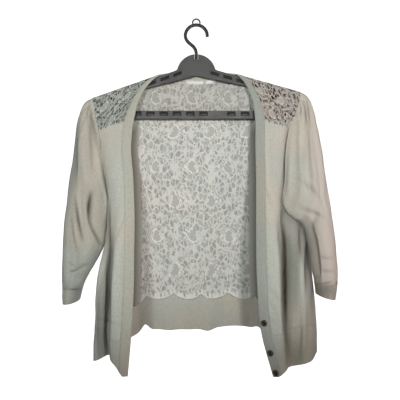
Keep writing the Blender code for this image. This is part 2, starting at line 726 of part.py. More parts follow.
def make_front(word, skin, normal, collection, looks):
    """Band, yoke, panel and hem rib of one front."""
    band = slice(0, BAND_COLUMNS + 1)
    rest = slice(BAND_COLUMNS, None)
    yoke = slice(0, YOKE_HEM + 1)
    panel = slice(YOKE_HEM, RIB_TOP + 1)
    rib = slice(RIB_TOP, None)
    seams = ["left", "right", "top"]
    wall("front_band_" + word, pulled_in(skin[:, band], normal[:, band], ["right", "top"]),
         normal[:, band], KNIT_WALL, BAND_LIFT, (looks["knit"], collection))
    lace = pulled_in(skin[yoke, rest], normal[yoke, rest], seams + ["bottom"])
    wall("yoke_" + word, lace, normal[yoke, rest], LACE_WALL, 0, (looks["lace"], collection),
         gaps=yoke_gaps(*lace.shape[:2]))
    wall("front_" + word, pulled_in(skin[panel, rest], normal[panel, rest], seams + ["bottom"]),
         normal[panel, rest], KNIT_WALL, 0, (looks["knit"], collection))
    wall("front_hem_rib_" + word, pulled_in(skin[rib, rest], normal[rib, rest], seams),
         normal[rib, rest], KNIT_WALL, RIB_LIFT, (looks["rib"], collection))


def make_back(skin, normal, collection, looks):
    """Lace back with its scalloped edge, and the hem rib that it laps."""
    lace = skin[:RIB_TOP + 1].copy()
    rise = lace[-2] - lace[-1]
    rise /= np.linalg.norm(rise, axis=1, keepdims=True)
    notch = np.arange(lace.shape[1]) % SCALLOP_COLUMNS == 0
    lace[-1] += rise * np.where(notch, SCALLOP_DEPTH, 0.4)[:, None]
    lace = pulled_in(lace, normal[:RIB_TOP + 1], ["left", "right", "top"])
    wall("back_lace", lace, normal[:RIB_TOP + 1], LACE_WALL, 0, (looks["lace"], collection),
         gaps=back_gaps(lace))
    lap = skin[RIB_TOP - 1] + (skin[RIB_TOP] - skin[RIB_TOP - 1]) * LAP_SHARE
    lap_normal = normal[RIB_TOP - 1] + (normal[RIB_TOP] - normal[RIB_TOP - 1]) * LAP_SHARE
    rib = np.concatenate([lap[None], skin[RIB_TOP:]])
    out = np.concatenate([lap_normal[None], normal[RIB_TOP:]])
    lift = np.array([LAP_LIFT, LAP_LIFT] + [0.0] * (len(rib) - 2))
    rib = pulled_in(rib + out * lift[:, None, None], out, ["left", "right"])
    wall("back_hem_rib", rib, out, KNIT_WALL, RIB_LIFT, (looks["rib"], collection))


def make_sleeve(word, skin, normal, collection, looks):
    """Sleeve tube and its cuff."""
    cuff = len(skin) - 1 - RINGS_BELOW
    wall("sleeve_" + word, pulled_in(skin[:cuff + 1], normal[:cuff + 1], ["top", "bottom"]),
         normal[:cuff + 1], KNIT_WALL, 0, (looks["knit"], collection), closed=True)
    wall("cuff_" + word, pulled_in(skin[cuff:], normal[cuff:], ["top"]),
         normal[cuff:], KNIT_WALL, RIB_LIFT, (looks["rib"], collection), closed=True)


def patch(field, rows, columns):
    """A field of the grid read between its points, at fractional row numbers and columns."""
    down = between_rows(field, ROWS, rows)
    return np.swapaxes(between_rows(np.swapaxes(down, 0, 1), range(field.shape[1]), columns), 0, 1)


def make_label(name, span, skin, normal, collection, looks):
    """A blank woven label that hangs inside the back neck, laid on the lace."""
    columns = np.interp(np.linspace(*span, 5), skin[1, :, 0], range(skin.shape[1]))
    points, out = patch(skin, LABEL_ROWS, columns), patch(normal, LABEL_ROWS, columns)
    wall(name, points - out * (LACE_WALL + LABEL_CLEAR), out, LABEL_WALL, 0, (looks["label"], collection))


def make_button(number, row, skin, normal, collection, looks):
    """A dished button on the middle of the band, turned from its profile."""
    place = patch(skin, [row], [BAND_COLUMNS / 2])[0, 0]
    out = Vector(patch(normal, [row], [BAND_COLUMNS / 2])[0, 0]).normalized()
    r, t = BUTTON_RADIUS, BUTTON_THICK
    profile = [(0, t * 0.6), (r * 0.45, t * 0.6), (r * 0.62, t), (r * 0.85, t), (r, t * 0.7), (r, t * 0.3),
               (r * 0.88, 0), (0, 0)]
    mesh = bpy.data.meshes.new(f"button_{number}")
    points = [(x * MM, 0, z * MM) for x, z in profile]
    mesh.from_pydata(points, [(k, k + 1) for k in range(len(points) - 1)], [])
    mesh.materials.append(looks["button"])
    button = bpy.data.objects.new(f"button_{number}", mesh)
    collection.objects.link(button)
    turn = button.modifiers.new("Turned", "SCREW")
    turn.axis = "Z"
    turn.angle = math.tau
    turn.steps = turn.render_steps = BUTTON_STEPS
    turn.use_merge_vertices = True
    turn.merge_threshold = 0.00001
    lift = BAND_LIFT + BUTTON_CLEAR
    button.location = (Vector(place) + out * lift) * MM
    button.rotation_euler = out.to_track_quat("Z", "Y").to_euler()


def rounded(corners, steps=4):
    """An outline from corners x, z, radius, each corner of radius above nothing turned into an arc."""
    outline = []
    for k, (x, z, radius) in enumerate(corners):
        here = Vector((x, z))
        if not radius:
            outline.append(here)
            continue
        before = (Vector(corners[k - 1][:2]) - here).normalized()
        after = (Vector(corners[(k + 1) % len(corners)][:2]) - here).normalized()
        half = before.angle(after) / 2
        start = here + before * radius / math.tan(half)
        end = here + after * radius / math.tan(half)
        middle = here + (before + after).normalized() * radius / math.sin(half)
        for n in range(steps + 1):
            way = (start - middle).lerp(end - middle, n / steps).normalized()
            outline.append(middle + way * radius)
    return outline


def plate(name, outlines, half, material, collection):
    """A flat plate in the XZ plane: the first outline filled, the others cut out of it."""
    curve = bpy.data.curves.new(name, "CURVE")
    curve.dimensions = "2D"
    curve.fill_mode = "BOTH"
    curve.extrude = half * MM
    for outline in outlines:
        spline = curve.splines.new("POLY")
        spline.points.add(len(outline) - 1)
        for point, (x, z) in zip(spline.points, outline):
            point.co = (x * MM, z * MM, 0, 1)
        spline.use_cyclic_u = True
    shape = bpy.data.objects.new(name, curve)
    shape.rotation_euler = (math.pi / 2, 0, 0)
    collection.objects.link(shape)
    bpy.context.view_layer.update()
    seen = shape.evaluated_get(bpy.context.evaluated_depsgraph_get())
    mesh = bpy.data.meshes.new_from_object(seen)
    build = bmesh.new()
    build.from_mesh(mesh)
    bmesh.ops.remove_doubles(build, verts=build.verts, dist=0.000001)
    bmesh.ops.dissolve_degenerate(build, dist=0.00001, edges=build.edges)
    bmesh.ops.recalc_face_normals(build, faces=build.faces)
    build.to_mesh(mesh)
    build.free()
    mesh.materials.clear()
    mesh.materials.append(material)
    body = bpy.data.objects.new(name, mesh)
    body.matrix_world = shape.matrix_world
    collection.objects.link(body)
    bpy.data.objects.remove(shape, do_unlink=True)
    body.name = name
    return body


def hanger_outline():
    """The web's outline: notched dome, two sloping arms, round ends and the trouser bar's foot."""
    centre = DOME_TOP_Z - DOME_RADIUS
    notch = math.degrees(math.acos(NOTCH_HALF / DOME_RADIUS))
    arc = [math.radians(a) for a in np.linspace(DOME_START, notch, 12)]
    right = [(DOME_RADIUS * math.cos(a), centre + DOME_RADIUS * math.sin(a)) for a in arc]
    corners = [(x, z, 0) for x, z in right]
    corners += [(NOTCH_HALF, STEM_NOTCH_Z, 0.8), (-NOTCH_HALF, STEM_NOTCH_Z, 0.8)]
    corners += [(-x, z, 0) for x, z in reversed(right)]
    root = right[0][0] + 4.0
    foot = BAR_BOTTOM_Z + 1.0
    tip = arm_top(HANGER_HALF)
    corners += [(-root, arm_top(-root), 0), (-HANGER_HALF, arm_top(-HANGER_HALF), 7.0)]
    corners += [(-HANGER_HALF, foot, 9.0), (HANGER_HALF, foot, 9.0), (HANGER_HALF, tip, 7.0)]
    corners += [(root, arm_top(root), 0)]
    return rounded(corners)


def hanger_cutouts():
    """The open triangle between arms and bar, and the rows of slots."""
    inner = HANGER_HALF - END_WEB
    cuts = [rounded([
        (0, arm_under(0) + 1, 12.0), (-inner, arm_under(-inner) + 1, 3.0), (-inner, BAR_TOP_Z, 4.0),
        (inner, BAR_TOP_Z, 4.0), (inner, arm_under(inner) + 1, 3.0),
    ])]
    half = SLOT_LENGTH / 2
    for x in [side * slot for side in (-1, 1) for slot in ARM_SLOTS_X]:
        high, low = ARM_SLOT_DEPTH - ARM_SLOT_HEIGHT / 2, ARM_SLOT_DEPTH + ARM_SLOT_HEIGHT / 2
        cuts.append([(x - half, arm_top(x - half) - high), (x + half, arm_top(x + half) - high),
                     (x + half, arm_top(x + half) - low), (x - half, arm_top(x - half) - low)])
    for x in BAR_SLOTS_X:
        top = BAR_TOP_Z - BAR_SLOT_LIP
        cuts.append([(x - half, top), (x + half, top), (x + half, top - BAR_SLOT_HEIGHT),
                     (x - half, top - BAR_SLOT_HEIGHT)])
    return cuts


def make_hanger(collection, cutters, looks):
    """The hanger's moulding: a slotted web with a wider flange under the arms and under the bar."""
    outlines = [hanger_outline(), *hanger_cutouts()]
    body = plate("hanger_body", outlines, ARM_HALF, looks["plastic"], collection)
    end = HANGER_HALF - END_WEB + 2
    arms = rounded([
        (-end, arm_under(-end), 0), (0, arm_under(0), 12.0), (end, arm_under(end), 0),
        (end, arm_under(end) + FLANGE_HEIGHT, 0), (0, arm_under(0) + FLANGE_HEIGHT, 12.0),
        (-end, arm_under(-end) + FLANGE_HEIGHT, 0),
    ])
    foot = [(-end, BAR_BOTTOM_Z), (end, BAR_BOTTOM_Z), (end, BAR_BOTTOM_Z + FLANGE_HEIGHT),
            (-end, BAR_BOTTOM_Z + FLANGE_HEIGHT)]
    for name, outline in (("arm_flange", arms), ("bar_flange", foot)):
        flange = plate(name, [outline], FLANGE_HALF, looks["plastic"], cutters)
        flange.hide_render = True
        flange.display_type = "WIRE"
        join = body.modifiers.new(name, "BOOLEAN")
        join.operation = "UNION"
        join.solver = "EXACT"
        join.object = flange


def tube(name, route, radius, count, material, collection, sides=3):
    """A round rod along a smooth curve through the route's points."""
    route = np.array(route, float)
    knots = chord_knots(route)
    points = smooth(knots, route, np.linspace(0, knots[-1], count))
    curve = bpy.data.curves.new(name, "CURVE")
    curve.dimensions = "3D"
    curve.bevel_depth = radius * MM
    curve.bevel_resolution = sides
    curve.use_fill_caps = True
    spline = curve.splines.new("POLY")
    spline.points.add(count - 1)
    for point, (x, z) in zip(spline.points, points):
        point.co = (x * MM, 0, z * MM, 1)
    curve.materials.append(material)
    collection.objects.link(bpy.data.objects.new(name, curve))


def make_hook(collection, looks):
    """The plastic hook with its swan-neck stem, and the small eye on its crown."""
    turns = [math.radians(a) for a in np.linspace(HOOK_TIP_ANGLE, 180, 14)]
    route = [(HOOK_RADIUS * math.cos(a), HOOK_CENTRE_Z + HOOK_RADIUS * math.sin(a)) for a in turns]
    route += [*SWAN_NECK, (0, STEM_END_Z)]
    tube("hanger_hook", route, ROD_RADIUS, 34, looks["plastic"], collection)
    turns = [math.radians(a) for a in np.linspace(0, 180, 9)]
    centre = EYE_TOP_Z - EYE_ROD - EYE_RADIUS
    arch = [(EYE_RADIUS * math.cos(a), centre + EYE_RADIUS * math.sin(a)) for a in turns]
    route = [(EYE_RADIUS, EYE_FOOT_Z), *arch, (-EYE_RADIUS, EYE_FOOT_Z)]
    tube("hook_eye", route, EYE_ROD, 15, looks["plastic"], collection, sides=2)


def main():
    for thing in list(bpy.data.objects):
        bpy.data.objects.remove(thing, do_unlink=True)
    collection = bpy.data.collections.new("Cardigan on a hanger")
    cutters = bpy.data.collections.new("Cutters")
    bpy.context.scene.collection.children.link(collection)
    bpy.context.scene.collection.children.link(cutters)
    looks = {
        "knit": new_material("Ivory fine knit", (0.55, 0.54, 0.47), 0.85),
        "rib": new_material("Ivory rib", (0.52, 0.51, 0.44), 0.88),
        "lace": new_material("Ivory lace", (0.62, 0.60, 0.54), 0.8),
        "label": new_material("White woven label", (0.78, 0.78, 0.75), 0.6),
        "button": new_material("Dark button", (0.03, 0.025, 0.02), 0.35),
        "plastic": new_material("Grey plastic", (0.13, 0.13, 0.127), 0.45),
    }
    skins, normals = cloth_skins()
    for word in ("left", "right"):
        make_front(word, skins["front_" + word].grid, normals["front_" + word], collection, looks)
        make_sleeve(word, skins["sleeve_" + word].grid, normals["sleeve_" + word], collection, looks)
    make_back(skins["back"].grid, normals["back"], collection, looks)
    neck = pulled_in(skins["neck"].grid, normals["neck"], ["left", "right", "bottom"])
    wall("neck_band_back", neck, normals["neck"], KNIT_WALL, BAND_LIFT, (looks["knit"], collection))
    for name, span in LABELS.items():
        make_label(name, span, skins["back"].grid, normals["back"], collection, looks)
    for number, row in enumerate(BUTTON_ROWS, 1):
        make_button(number, row, skins["front_right"].grid, normals["front_right"], collection, looks)
    make_hanger(collection, cutters, looks)
    make_hook(collection, looks)


main()
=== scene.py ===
# %% [markdown]
# A cardigan on its hanger: the looks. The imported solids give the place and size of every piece. Each cloth
# piece is made again here as a fine shell on the same sections, with its creases, ribs and lace, and rides
# on the one body, because cloth has no joints.

import math
from collections import namedtuple

import bpy
import numpy as np
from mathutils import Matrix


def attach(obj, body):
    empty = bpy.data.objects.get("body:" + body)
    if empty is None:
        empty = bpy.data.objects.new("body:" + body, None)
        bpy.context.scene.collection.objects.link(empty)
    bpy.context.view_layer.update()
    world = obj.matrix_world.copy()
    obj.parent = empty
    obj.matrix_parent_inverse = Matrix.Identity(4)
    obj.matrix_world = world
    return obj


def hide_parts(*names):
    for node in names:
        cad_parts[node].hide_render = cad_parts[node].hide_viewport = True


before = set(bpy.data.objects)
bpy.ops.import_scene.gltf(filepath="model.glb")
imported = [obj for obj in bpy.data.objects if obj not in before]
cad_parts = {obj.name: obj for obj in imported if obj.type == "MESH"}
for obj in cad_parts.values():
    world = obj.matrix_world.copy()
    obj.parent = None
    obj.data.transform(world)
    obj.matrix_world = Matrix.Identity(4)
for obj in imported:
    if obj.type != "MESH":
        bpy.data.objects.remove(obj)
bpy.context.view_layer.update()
MM = 0.001

# %% [markdown]
# The camera stands level with the middle of the garment, 1.2 m in front of the hanger. At that distance one
# pixel of the photograph is 2.1 mm in the hanger's plane. seen() gives the pixel of a point, so a crease can
# be placed where the photograph shows it and still lie on the cloth that carries it.

# %% Camera
CAMERA = (7.8, -1200.0, -364.0)
MM_PER_PIXEL = 2.1
FRAME_PIXELS = 400
SENSOR = 36.0


def seen(points):
    """Pixels of points in mm: px = 200 + (x - 7.8) / s, py = 200 - (z + 364) / s, s = 2.1 (1 + y / 1200)."""
    scale = MM_PER_PIXEL * (1 + points[..., 1] / -CAMERA[1])
    half = FRAME_PIXELS / 2
    return half + (points[..., 0] - CAMERA[0]) / scale, half - (points[..., 2] - CAMERA[2]) / scale


camera_data = bpy.data.cameras.new("Camera")
camera_data.sensor_width = SENSOR
camera_data.lens = SENSOR * -CAMERA[1] / (FRAME_PIXELS * MM_PER_PIXEL)
camera = bpy.data.objects.new("Camera", camera_data)
camera.location = [c * MM for c in CAMERA]
camera.rotation_euler = (math.pi / 2, 0, 0)
bpy.context.scene.collection.objects.link(camera)
bpy.context.scene.camera = camera
print("lens", round(camera_data.lens, 2))

# %% [markdown]
# The sections of the garment, the same as the solids', in millimetres. A front is read down from the shoulder
# row on the hanger's arm to the hem, and across from its free edge to the armhole or side. A sleeve is a row
# of rings from the armhole to the cuff's end. Read at finer steps, the same smooth curves give a cloth that
# bends instead of facets.

# %% Named sizes
WORDS = {-1: "left", 1: "right"}
KNIT_WALL = 1.5
LACE_WALL = 1.2
BAND_LIFT = 0.7
BAND_WIDTH = 20.0
LAP_LIFT = 1.9
ARM_ROOT_X = 34.0
ARM_ROOT_Z = -89.4
ARM_SLOPE = {-1: 0.35, 1: 0.28}
CLOTH_ABOVE_ARM = 3.7
ARM_HALF_DEPTH = 7.0
ARM_ROUNDING = 2.2
PANEL_COLUMNS = 9
NECK_COLUMNS = 12
BACK_LAST = 2 * PANEL_COLUMNS + NECK_COLUMNS
CURVE_STEPS = 193
BUTTON_RADIUS = 6.5
BUTTON_THICK = 2.6
BUTTON_CLEAR = 0.5
BUTTON_ROWS = (9.77, 10.44, 10.9)
LABEL_CLEAR = 0.4
LABEL_ROWS = (0.15, 1.5)
LABELS = {"neck_label": (-23.0, 17.0), "size_label": (19.0, 36.5)}
YOKE_HEM_ROW = 4.0
UNDERARM_ROW = 7.0
RIB_ROW = 10.0
HEM_ROW = 11.0

Front = namedtuple("Front", "row edge crest valley flank outer")
Back = namedtuple("Back", "row left_turn left_flat centre right_flat right_turn")
Armhole = namedtuple("Armhole", "row left right")
Ring = namedtuple("Ring", "name outer inner front back")
Fold = namedtuple("Fold", "name start end width depth")
Ripple = namedtuple("Ripple", "x half_width depth rise")
print("walls", KNIT_WALL, LACE_WALL, "band", BAND_WIDTH)

# %% [markdown]
# A front has its free edge, then the crest of the first soft roll, the deep valley beside the side panel, the
# flank and the armhole or side seam. Each is given as x, y and z, with y negative towards the viewer.

# %% Sections of the fronts
# The shoulder row and the one below it come from the hanger's arm, so only x is given there.
SHOULDER_X = {
    -1: dict(edge=-77.5, crest=-140.0, valley=-170.0, flank=-195.0, outer=-217.0),
    1: dict(edge=84.5, crest=145.0, valley=172.0, flank=196.0, outer=217.0),
}

LEFT_FRONT = (
    Front("collar", (-94, -9, -117), (-146, -9, -139), (-174, -9, -147),
          (-196, -9, -156), (-215, -9, -164)),
    Front("breast", (-117, -13, -152), (-150, -14, -169), (-175, -14, -176),
          (-196, -13, -182), (-211, -10, -189)),
    Front("yoke hem", (-128, -20, -195), (-161, -22, -201), (-178, -21, -206),
          (-191, -18, -212), (-204, -12, -214)),
    Front("chest", (-133, -30, -251), (-161, -34, -252), (-176, -31, -254),
          (-188, -25, -255), (-198, -15, -258)),
    Front("rib cage", (-127, -44, -319), (-154, -50, -320), (-169, -44, -322),
          (-180, -34, -323), (-190, -17, -325)),
    Front("underarm", (-122, -66, -408), (-150, -72, -409), (-168, -58, -410),
          (-181, -40, -411), (-174, 2, -408)),
    Front("waist", (-121, -80, -466), (-156, -90, -465), (-174, -52, -466),
          (-184, -44, -465), (-180, 6, -465)),
    Front("hip", (-120, -96, -530), (-161, -104, -529), (-177, -44, -532),
          (-192, -58, -526), (-201, 8, -531)),
    Front("rib top", (-124, -112, -636), (-163, -113, -630), (-180, -44, -631),
          (-195, -72, -615), (-209, 8, -626)),
    Front("hem", (-129, -118, -697), (-157, -114, -676), (-179, -46, -678),
          (-195, -78, -679), (-211, 8, -690)),
)

RIGHT_FRONT = (
    Front("collar", (98, -9, -116), (145, -9, -135), (170, -9, -143),
          (193, -9, -149), (215, -9, -156)),
    Front("breast", (115, -13, -150), (149, -14, -165), (172, -14, -172),
          (191, -13, -177), (207, -10, -183)),
    Front("yoke hem", (121, -20, -188), (152, -22, -197), (171, -21, -202),
          (186, -18, -206), (195, -12, -210)),
    Front("chest", (121, -30, -251), (149, -34, -252), (164, -31, -254),
          (176, -25, -255), (186, -15, -256)),
    Front("rib cage", (121, -44, -319), (149, -50, -320), (164, -44, -321),
          (174, -34, -321), (183, -17, -321)),
    Front("underarm", (119, -64, -404), (154, -72, -402), (167, -58, -398),
          (176, -36, -393), (184, 2, -381)),
    Front("waist", (118, -76, -466), (158, -88, -466), (174, -40, -460),
          (196, -50, -448), (234, 44, -420)),
    Front("hip", (119, -88, -531), (160, -103, -530), (174, -44, -532),
          (204, -60, -525), (249, 40, -510)),
    Front("rib top", (127, -96, -625), (163, -113, -619), (177, -50, -624),
          (211, -72, -612), (254, 8, -627)),
    Front("hem", (148, -104, -703), (166, -114, -692), (190, -60, -696),
          (214, -78, -686), (254, 4, -684)),
)

print("rows of the fronts", len(LEFT_FRONT), len(RIGHT_FRONT))

# %% [markdown]
# The back has the same rows. Above the underarm its sides are the back armholes, and at the bottom its hem
# waves to and fro a little, as a deep rib does when it hangs free.

# %% Sections of the back
BACK = (
    Back("collar", (-166, 9, -146), (-98, 10, -123), (0, 13, -126), (103, 10, -123), (166, 9, -142)),
    Back("breast", (-166, 12, -167), (-98, 14, -147), (0, 15, -151), (101, 14, -147), (165, 12, -163)),
    Back("yoke hem", (-167, 15, -202), (-101, 19, -193), (0, 19, -195), (102, 19, -193), (161, 15, -200)),
    Back("chest", (-163, 17, -249), (-104, 24, -244), (0, 22, -244), (102, 24, -244), (155, 17, -249)),
    Back("rib cage", (-159, 19, -317), (-104, 31, -312), (0, 27, -312), (103, 31, -312), (153, 19, -317)),
    Back("underarm", (-155, 22, -409), (-106, 39, -399), (0, 33, -396), (104, 39, -397), (155, 22, -394)),
    Back("waist", (-160, 24, -463), (-106, 43, -451), (0, 36, -446), (108, 43, -449), (169, 28, -456)),
    Back("hip", (-173, 28, -527), (-106, 46, -508), (0, 40, -503), (112, 46, -506), (189, 32, -525)),
    Back("rib top", (-179, 30, -616), (-102, 50, -585), (0, 44, -582), (115, 50, -583), (198, 34, -616)),
    Back("hem", (-179, 30, -678), (-102, 52, -649), (0, 46, -645), (115, 52, -642), (198, 34, -677)),
)

BACK_ARMHOLE = (
    Armhole("collar", (-217, 9, -163), (217, 9, -155)),
    Armhole("breast", (-214, 11, -188), (210, 11, -182)),
    Armhole("yoke hem", (-206, 12, -214), (198, 12, -210)),
    Armhole("chest", (-200, 13, -257), (189, 13, -255)),
    Armhole("rib cage", (-192, 12, -324), (184, 12, -319)),
)

RIPPLE_TOP_Z = -500.0
RIPPLE_RUN = 120.0
RISE_TOP_Z = -600.0
RISE_RUN = 45.0
NECK_DROP = np.array([0.0, 0.6, -6.0])
NECK_SEAM = ((-83, 9.0, -105.5), (0, 13.5, -110.0), (89, 9.0, -104.5))
NECK_EDGE = ((-65, 8.5, -97.0), (0, 12.5, -97.5), (71, 8.5, -96.5))

print("rows of the back", len(BACK), "armhole rows", len(BACK_ARMHOLE))

# %% [markdown]
# A ring of a sleeve is an oval between its outer and its inner contour point, given as x and z, with its
# depth in front and behind. Larger folds run between two places: the share of a turn round the sleeve, and
# the share of the way down it.

# %% Sections of the sleeves
LEFT_SLEEVE = (
    Ring("cap", (-231, -157), (-184, -413), -28, 22),
    Ring("crown", (-246, -186), (-187, -436), -38, 30),
    Ring("upper", (-257, -256), (-194, -462), -44, 36),
    Ring("mid", (-267, -330), (-204, -482), -46, 40),
    Ring("elbow", (-275, -404), (-215, -501), -47, 43),
    Ring("forearm", (-279, -472), (-227, -522), -47, 45),
    Ring("cuff top", (-280, -546), (-239, -547), -46, 46),
    Ring("cuff end", (-277, -578), (-246, -574), -44, 44),
)

RIGHT_SLEEVE = (
    Ring("cap", (232, -146), (193, -387), -28, 22),
    Ring("crown", (244, -168), (202, -400), -38, 28),
    Ring("upper", (255, -217), (219, -411), -44, 32),
    Ring("mid", (264, -270), (229, -429), -47, 34),
    Ring("elbow", (273, -332), (235, -455), -50, 36),
    Ring("bend", (283, -395), (238, -486), -52, 38),
    Ring("forearm", (291, -464), (244, -515), -52, 40),
    Ring("cuff top", (294, -534), (250, -538), -50, 42),
    Ring("cuff end", (289, -569), (252, -561), -48, 40),
)

LEFT_SLEEVE_FOLDS = (
    Fold("elbow hollow", (0.22, 0.42), (0.34, 0.66), 0.07, -9.0),
    Fold("outer pull", (0.10, 0.40), (0.24, 0.78), 0.05, -5.0),
    Fold("cuff break", (0.08, 0.90), (0.36, 0.78), 0.04, -4.0),
)
RIGHT_SLEEVE_FOLDS = (
    Fold("long fall", (0.12, 0.12), (0.22, 0.55), 0.05, -6.0),
    Fold("elbow pull", (0.34, 0.46), (0.12, 0.58), 0.05, -5.0),
    Fold("cuff break", (0.10, 0.92), (0.32, 0.84), 0.04, -4.0),
)

print("rings of the sleeves", len(LEFT_SLEEVE), len(RIGHT_SLEEVE))

# %% [markdown]
# The back's hem isn't a straight line: it ripples in depth and in height. Each front's corner hangs a little
# lower than its hem, because the band pulls it down.

# %% Ripples and corners of the hem
# Ripples of the back hem: place across, half width, depth towards the front and rise of the hem's edge
HEM_RIPPLES = (
    Ripple(-128, 12, -9, 0),
    Ripple(-112, 10, 0, 15),
    Ripple(-60, 22, 6, -3),
    Ripple(-20, 16, -4, -2),
    Ripple(26, 14, 6, -5),
    Ripple(62, 20, -8, -3),
    Ripple(96, 16, 6, 1),
    Ripple(134, 10, 3, 8),
)

# Drop of each front's corner below the line of its hem, how far from the edge and how wide
HEM_TIP = {-1: 10.0, 1: 5.0}
HEM_TIP_PLACE = 15.0
HEM_TIP_WIDTH = 11.0
print("ripples", len(HEM_RIPPLES), "corner drops, mm", HEM_TIP)

# %% [markdown]
# Smooth reading of the sections. Every curve below passes through the section points with slopes taken from
# its neighbours, so steps as fine as a rib or a thread can be read anywhere on the cloth.

# %% Smooth curves
def smooth(knots, values, at):
    """Reads the smooth curve through values at the knots: cubic pieces, slopes from the neighbours."""
    knots = np.asarray(knots, float)
    values = np.asarray(values, float)
    at = np.atleast_1d(np.asarray(at, float))
    slopes = np.gradient(values, knots, axis=0)
    i = np.clip(np.searchsorted(knots, at, side="right") - 1, 0, len(knots) - 2)
    wide = (-1,) + (1,) * (values.ndim - 1)
    h = (knots[i + 1] - knots[i]).reshape(wide)
    t = (at - knots[i]).reshape(wide) / h
    start = (1 + 2 * t) * (1 - t) ** 2 * values[i] + t * (1 - t) ** 2 * h * slopes[i]
    end = t * t * (3 - 2 * t) * values[i + 1] + t * t * (t - 1) * h * slopes[i + 1]
    return start + end


def chord_knots(points):
    """Knots for a row of points, spaced by the distances between them."""
    steps = np.linalg.norm(np.diff(points, axis=0), axis=-1)
    while steps.ndim > 1:
        steps = steps.mean(axis=-1)
    return np.concatenate([[0.0], np.cumsum(steps)])


def read_rows(table, rows):
    """Stations of the table at fractional row numbers, smooth from row to row."""
    knots = chord_knots(table)
    return smooth(knots, table, np.interp(rows, range(len(table)), knots))


def between_rows(values, rows, places):
    """Values read straight between the rows they are given at, at the places asked for."""
    values = np.asarray(values, float)
    flat = values.reshape(len(values), -1)
    read = np.stack([np.interp(places, rows, column) for column in flat.T], axis=1)
    return read.reshape(-1, *values.shape[1:])


print("a curve through 0, 1, 0 at a quarter of its way:", smooth([0, 1, 2], [0, 1, 0], 0.5).round(3))

# %% [markdown]
# The shoulder rests on the hanger's arm, so the first rows of a front follow the arm's slope. Below them the
# front is read across from its free edge: the band is 20 mm wide, and the rest goes on to the side.

# %% Surface of a front
def arm_top(x):
    """Height of the hanger arm's top edge."""
    side = -1 if x < 0 else 1
    return ARM_ROOT_Z - ARM_SLOPE[side] * (abs(x) - ARM_ROOT_X)


def over_arm(x):
    """A point of the cloth on top of the arm."""
    return (x, 0.0, arm_top(x) + CLOTH_ABOVE_ARM)


def beside_arm(x, side):
    """A point of the cloth where it turns down over the arm, in front (-1) or behind (1)."""
    return (x, ARM_HALF_DEPTH * side, arm_top(x) + CLOTH_ABOVE_ARM - ARM_ROUNDING)


def front_table(side):
    """Station points of one front, from the shoulder row to the hem."""
    xs = [SHOULDER_X[side][name] for name in Front._fields[1:]]
    rows = [[over_arm(x) for x in xs], [beside_arm(x, -1) for x in xs]]
    rows += [list(row[1:]) for row in (LEFT_FRONT if side < 0 else RIGHT_FRONT)]
    return np.array(rows, float)


def hem_tip(side, row, places):
    """How far a front's corner hangs below the line of its hem, at places along a row of the rib."""
    share = max(0.0, row - RIB_ROW) ** 2
    return HEM_TIP[side] * share * np.exp(-(((places - HEM_TIP_PLACE) / HEM_TIP_WIDTH) ** 2))


def front_surface(side, rows, columns):
    """Points of one front at row and column numbers. Columns: 0 free edge, 1 band seam, 2 armhole or side."""
    grid = []
    for row, points in zip(rows, read_rows(front_table(side), rows)):
        knots = chord_knots(points)
        curve = smooth(knots, points, np.linspace(0, knots[-1], CURVE_STEPS))
        lengths = chord_knots(curve)
        places = np.interp(columns, [0, 1, 2], [0, BAND_WIDTH, lengths[-1]])
        line = between_rows(curve, lengths, places)
        line[:, 2] -= hem_tip(side, row, places)
        grid.append(line)
    return np.array(grid)


for side, word in WORDS.items():
    hem = chord_knots(front_surface(side, [HEM_ROW], np.linspace(0, 2, 21))[0])[-1]
    print(word, "front at the hem, mm", round(hem, 1))

# %% [markdown]
# The back is read from one side seam to the other. Its shoulder and side seams are those of the fronts, and
# between them its top follows the neck seam.

# %% Surface of the back
def back_table():
    """Station points of the back, side seam to side seam, from the shoulder row to the hem."""
    outer = {side: front_table(side)[:, -1] for side in (-1, 1)}
    neck = [front_surface(side, [0], [1])[0, 0] for side in (-1, 1)]
    middle = NECK_SEAM[1]
    half = [(neck[0] + outer[-1][0]) / 2, (neck[1] + outer[1][0]) / 2]
    top = [outer[-1][0], half[0], neck[0], middle, neck[1], half[1], outer[1][0]]
    brow = [beside_arm(point[0], 1) for point in top]
    brow[3] = tuple(np.array(middle) + NECK_DROP)
    rows = [top, brow]
    for k, row in enumerate(BACK):
        seams = Armhole(row.row, outer[-1][k + 2], outer[1][k + 2])
        if k < len(BACK_ARMHOLE):
            seams = BACK_ARMHOLE[k]
        rows.append([seams.left, *row[1:], seams.right])
    return np.array(rows, float)


def hem_ripple(grid):
    """Moves the back's lower part to and fro in depth and its edge up and down, fading out upwards."""
    fade = np.clip((RIPPLE_TOP_Z - grid[..., 2]) / RIPPLE_RUN, 0, 1) ** 2
    low = np.clip((RISE_TOP_Z - grid[..., 2]) / RISE_RUN, 0, 1)
    for ripple in HEM_RIPPLES:
        bump = np.exp(-(((grid[..., 0] - ripple.x) / ripple.half_width) ** 2))
        grid[..., 1] -= ripple.depth * fade * bump
        grid[..., 2] += ripple.rise * low * bump


def neck_line(left, bends, right, shares):
    """The back neck's curve from one shoulder to the other at shares of its length."""
    points = np.array([left, *bends, right], float)
    knots = chord_knots(points)
    return smooth(knots, points, knots[-1] * np.asarray(shares))


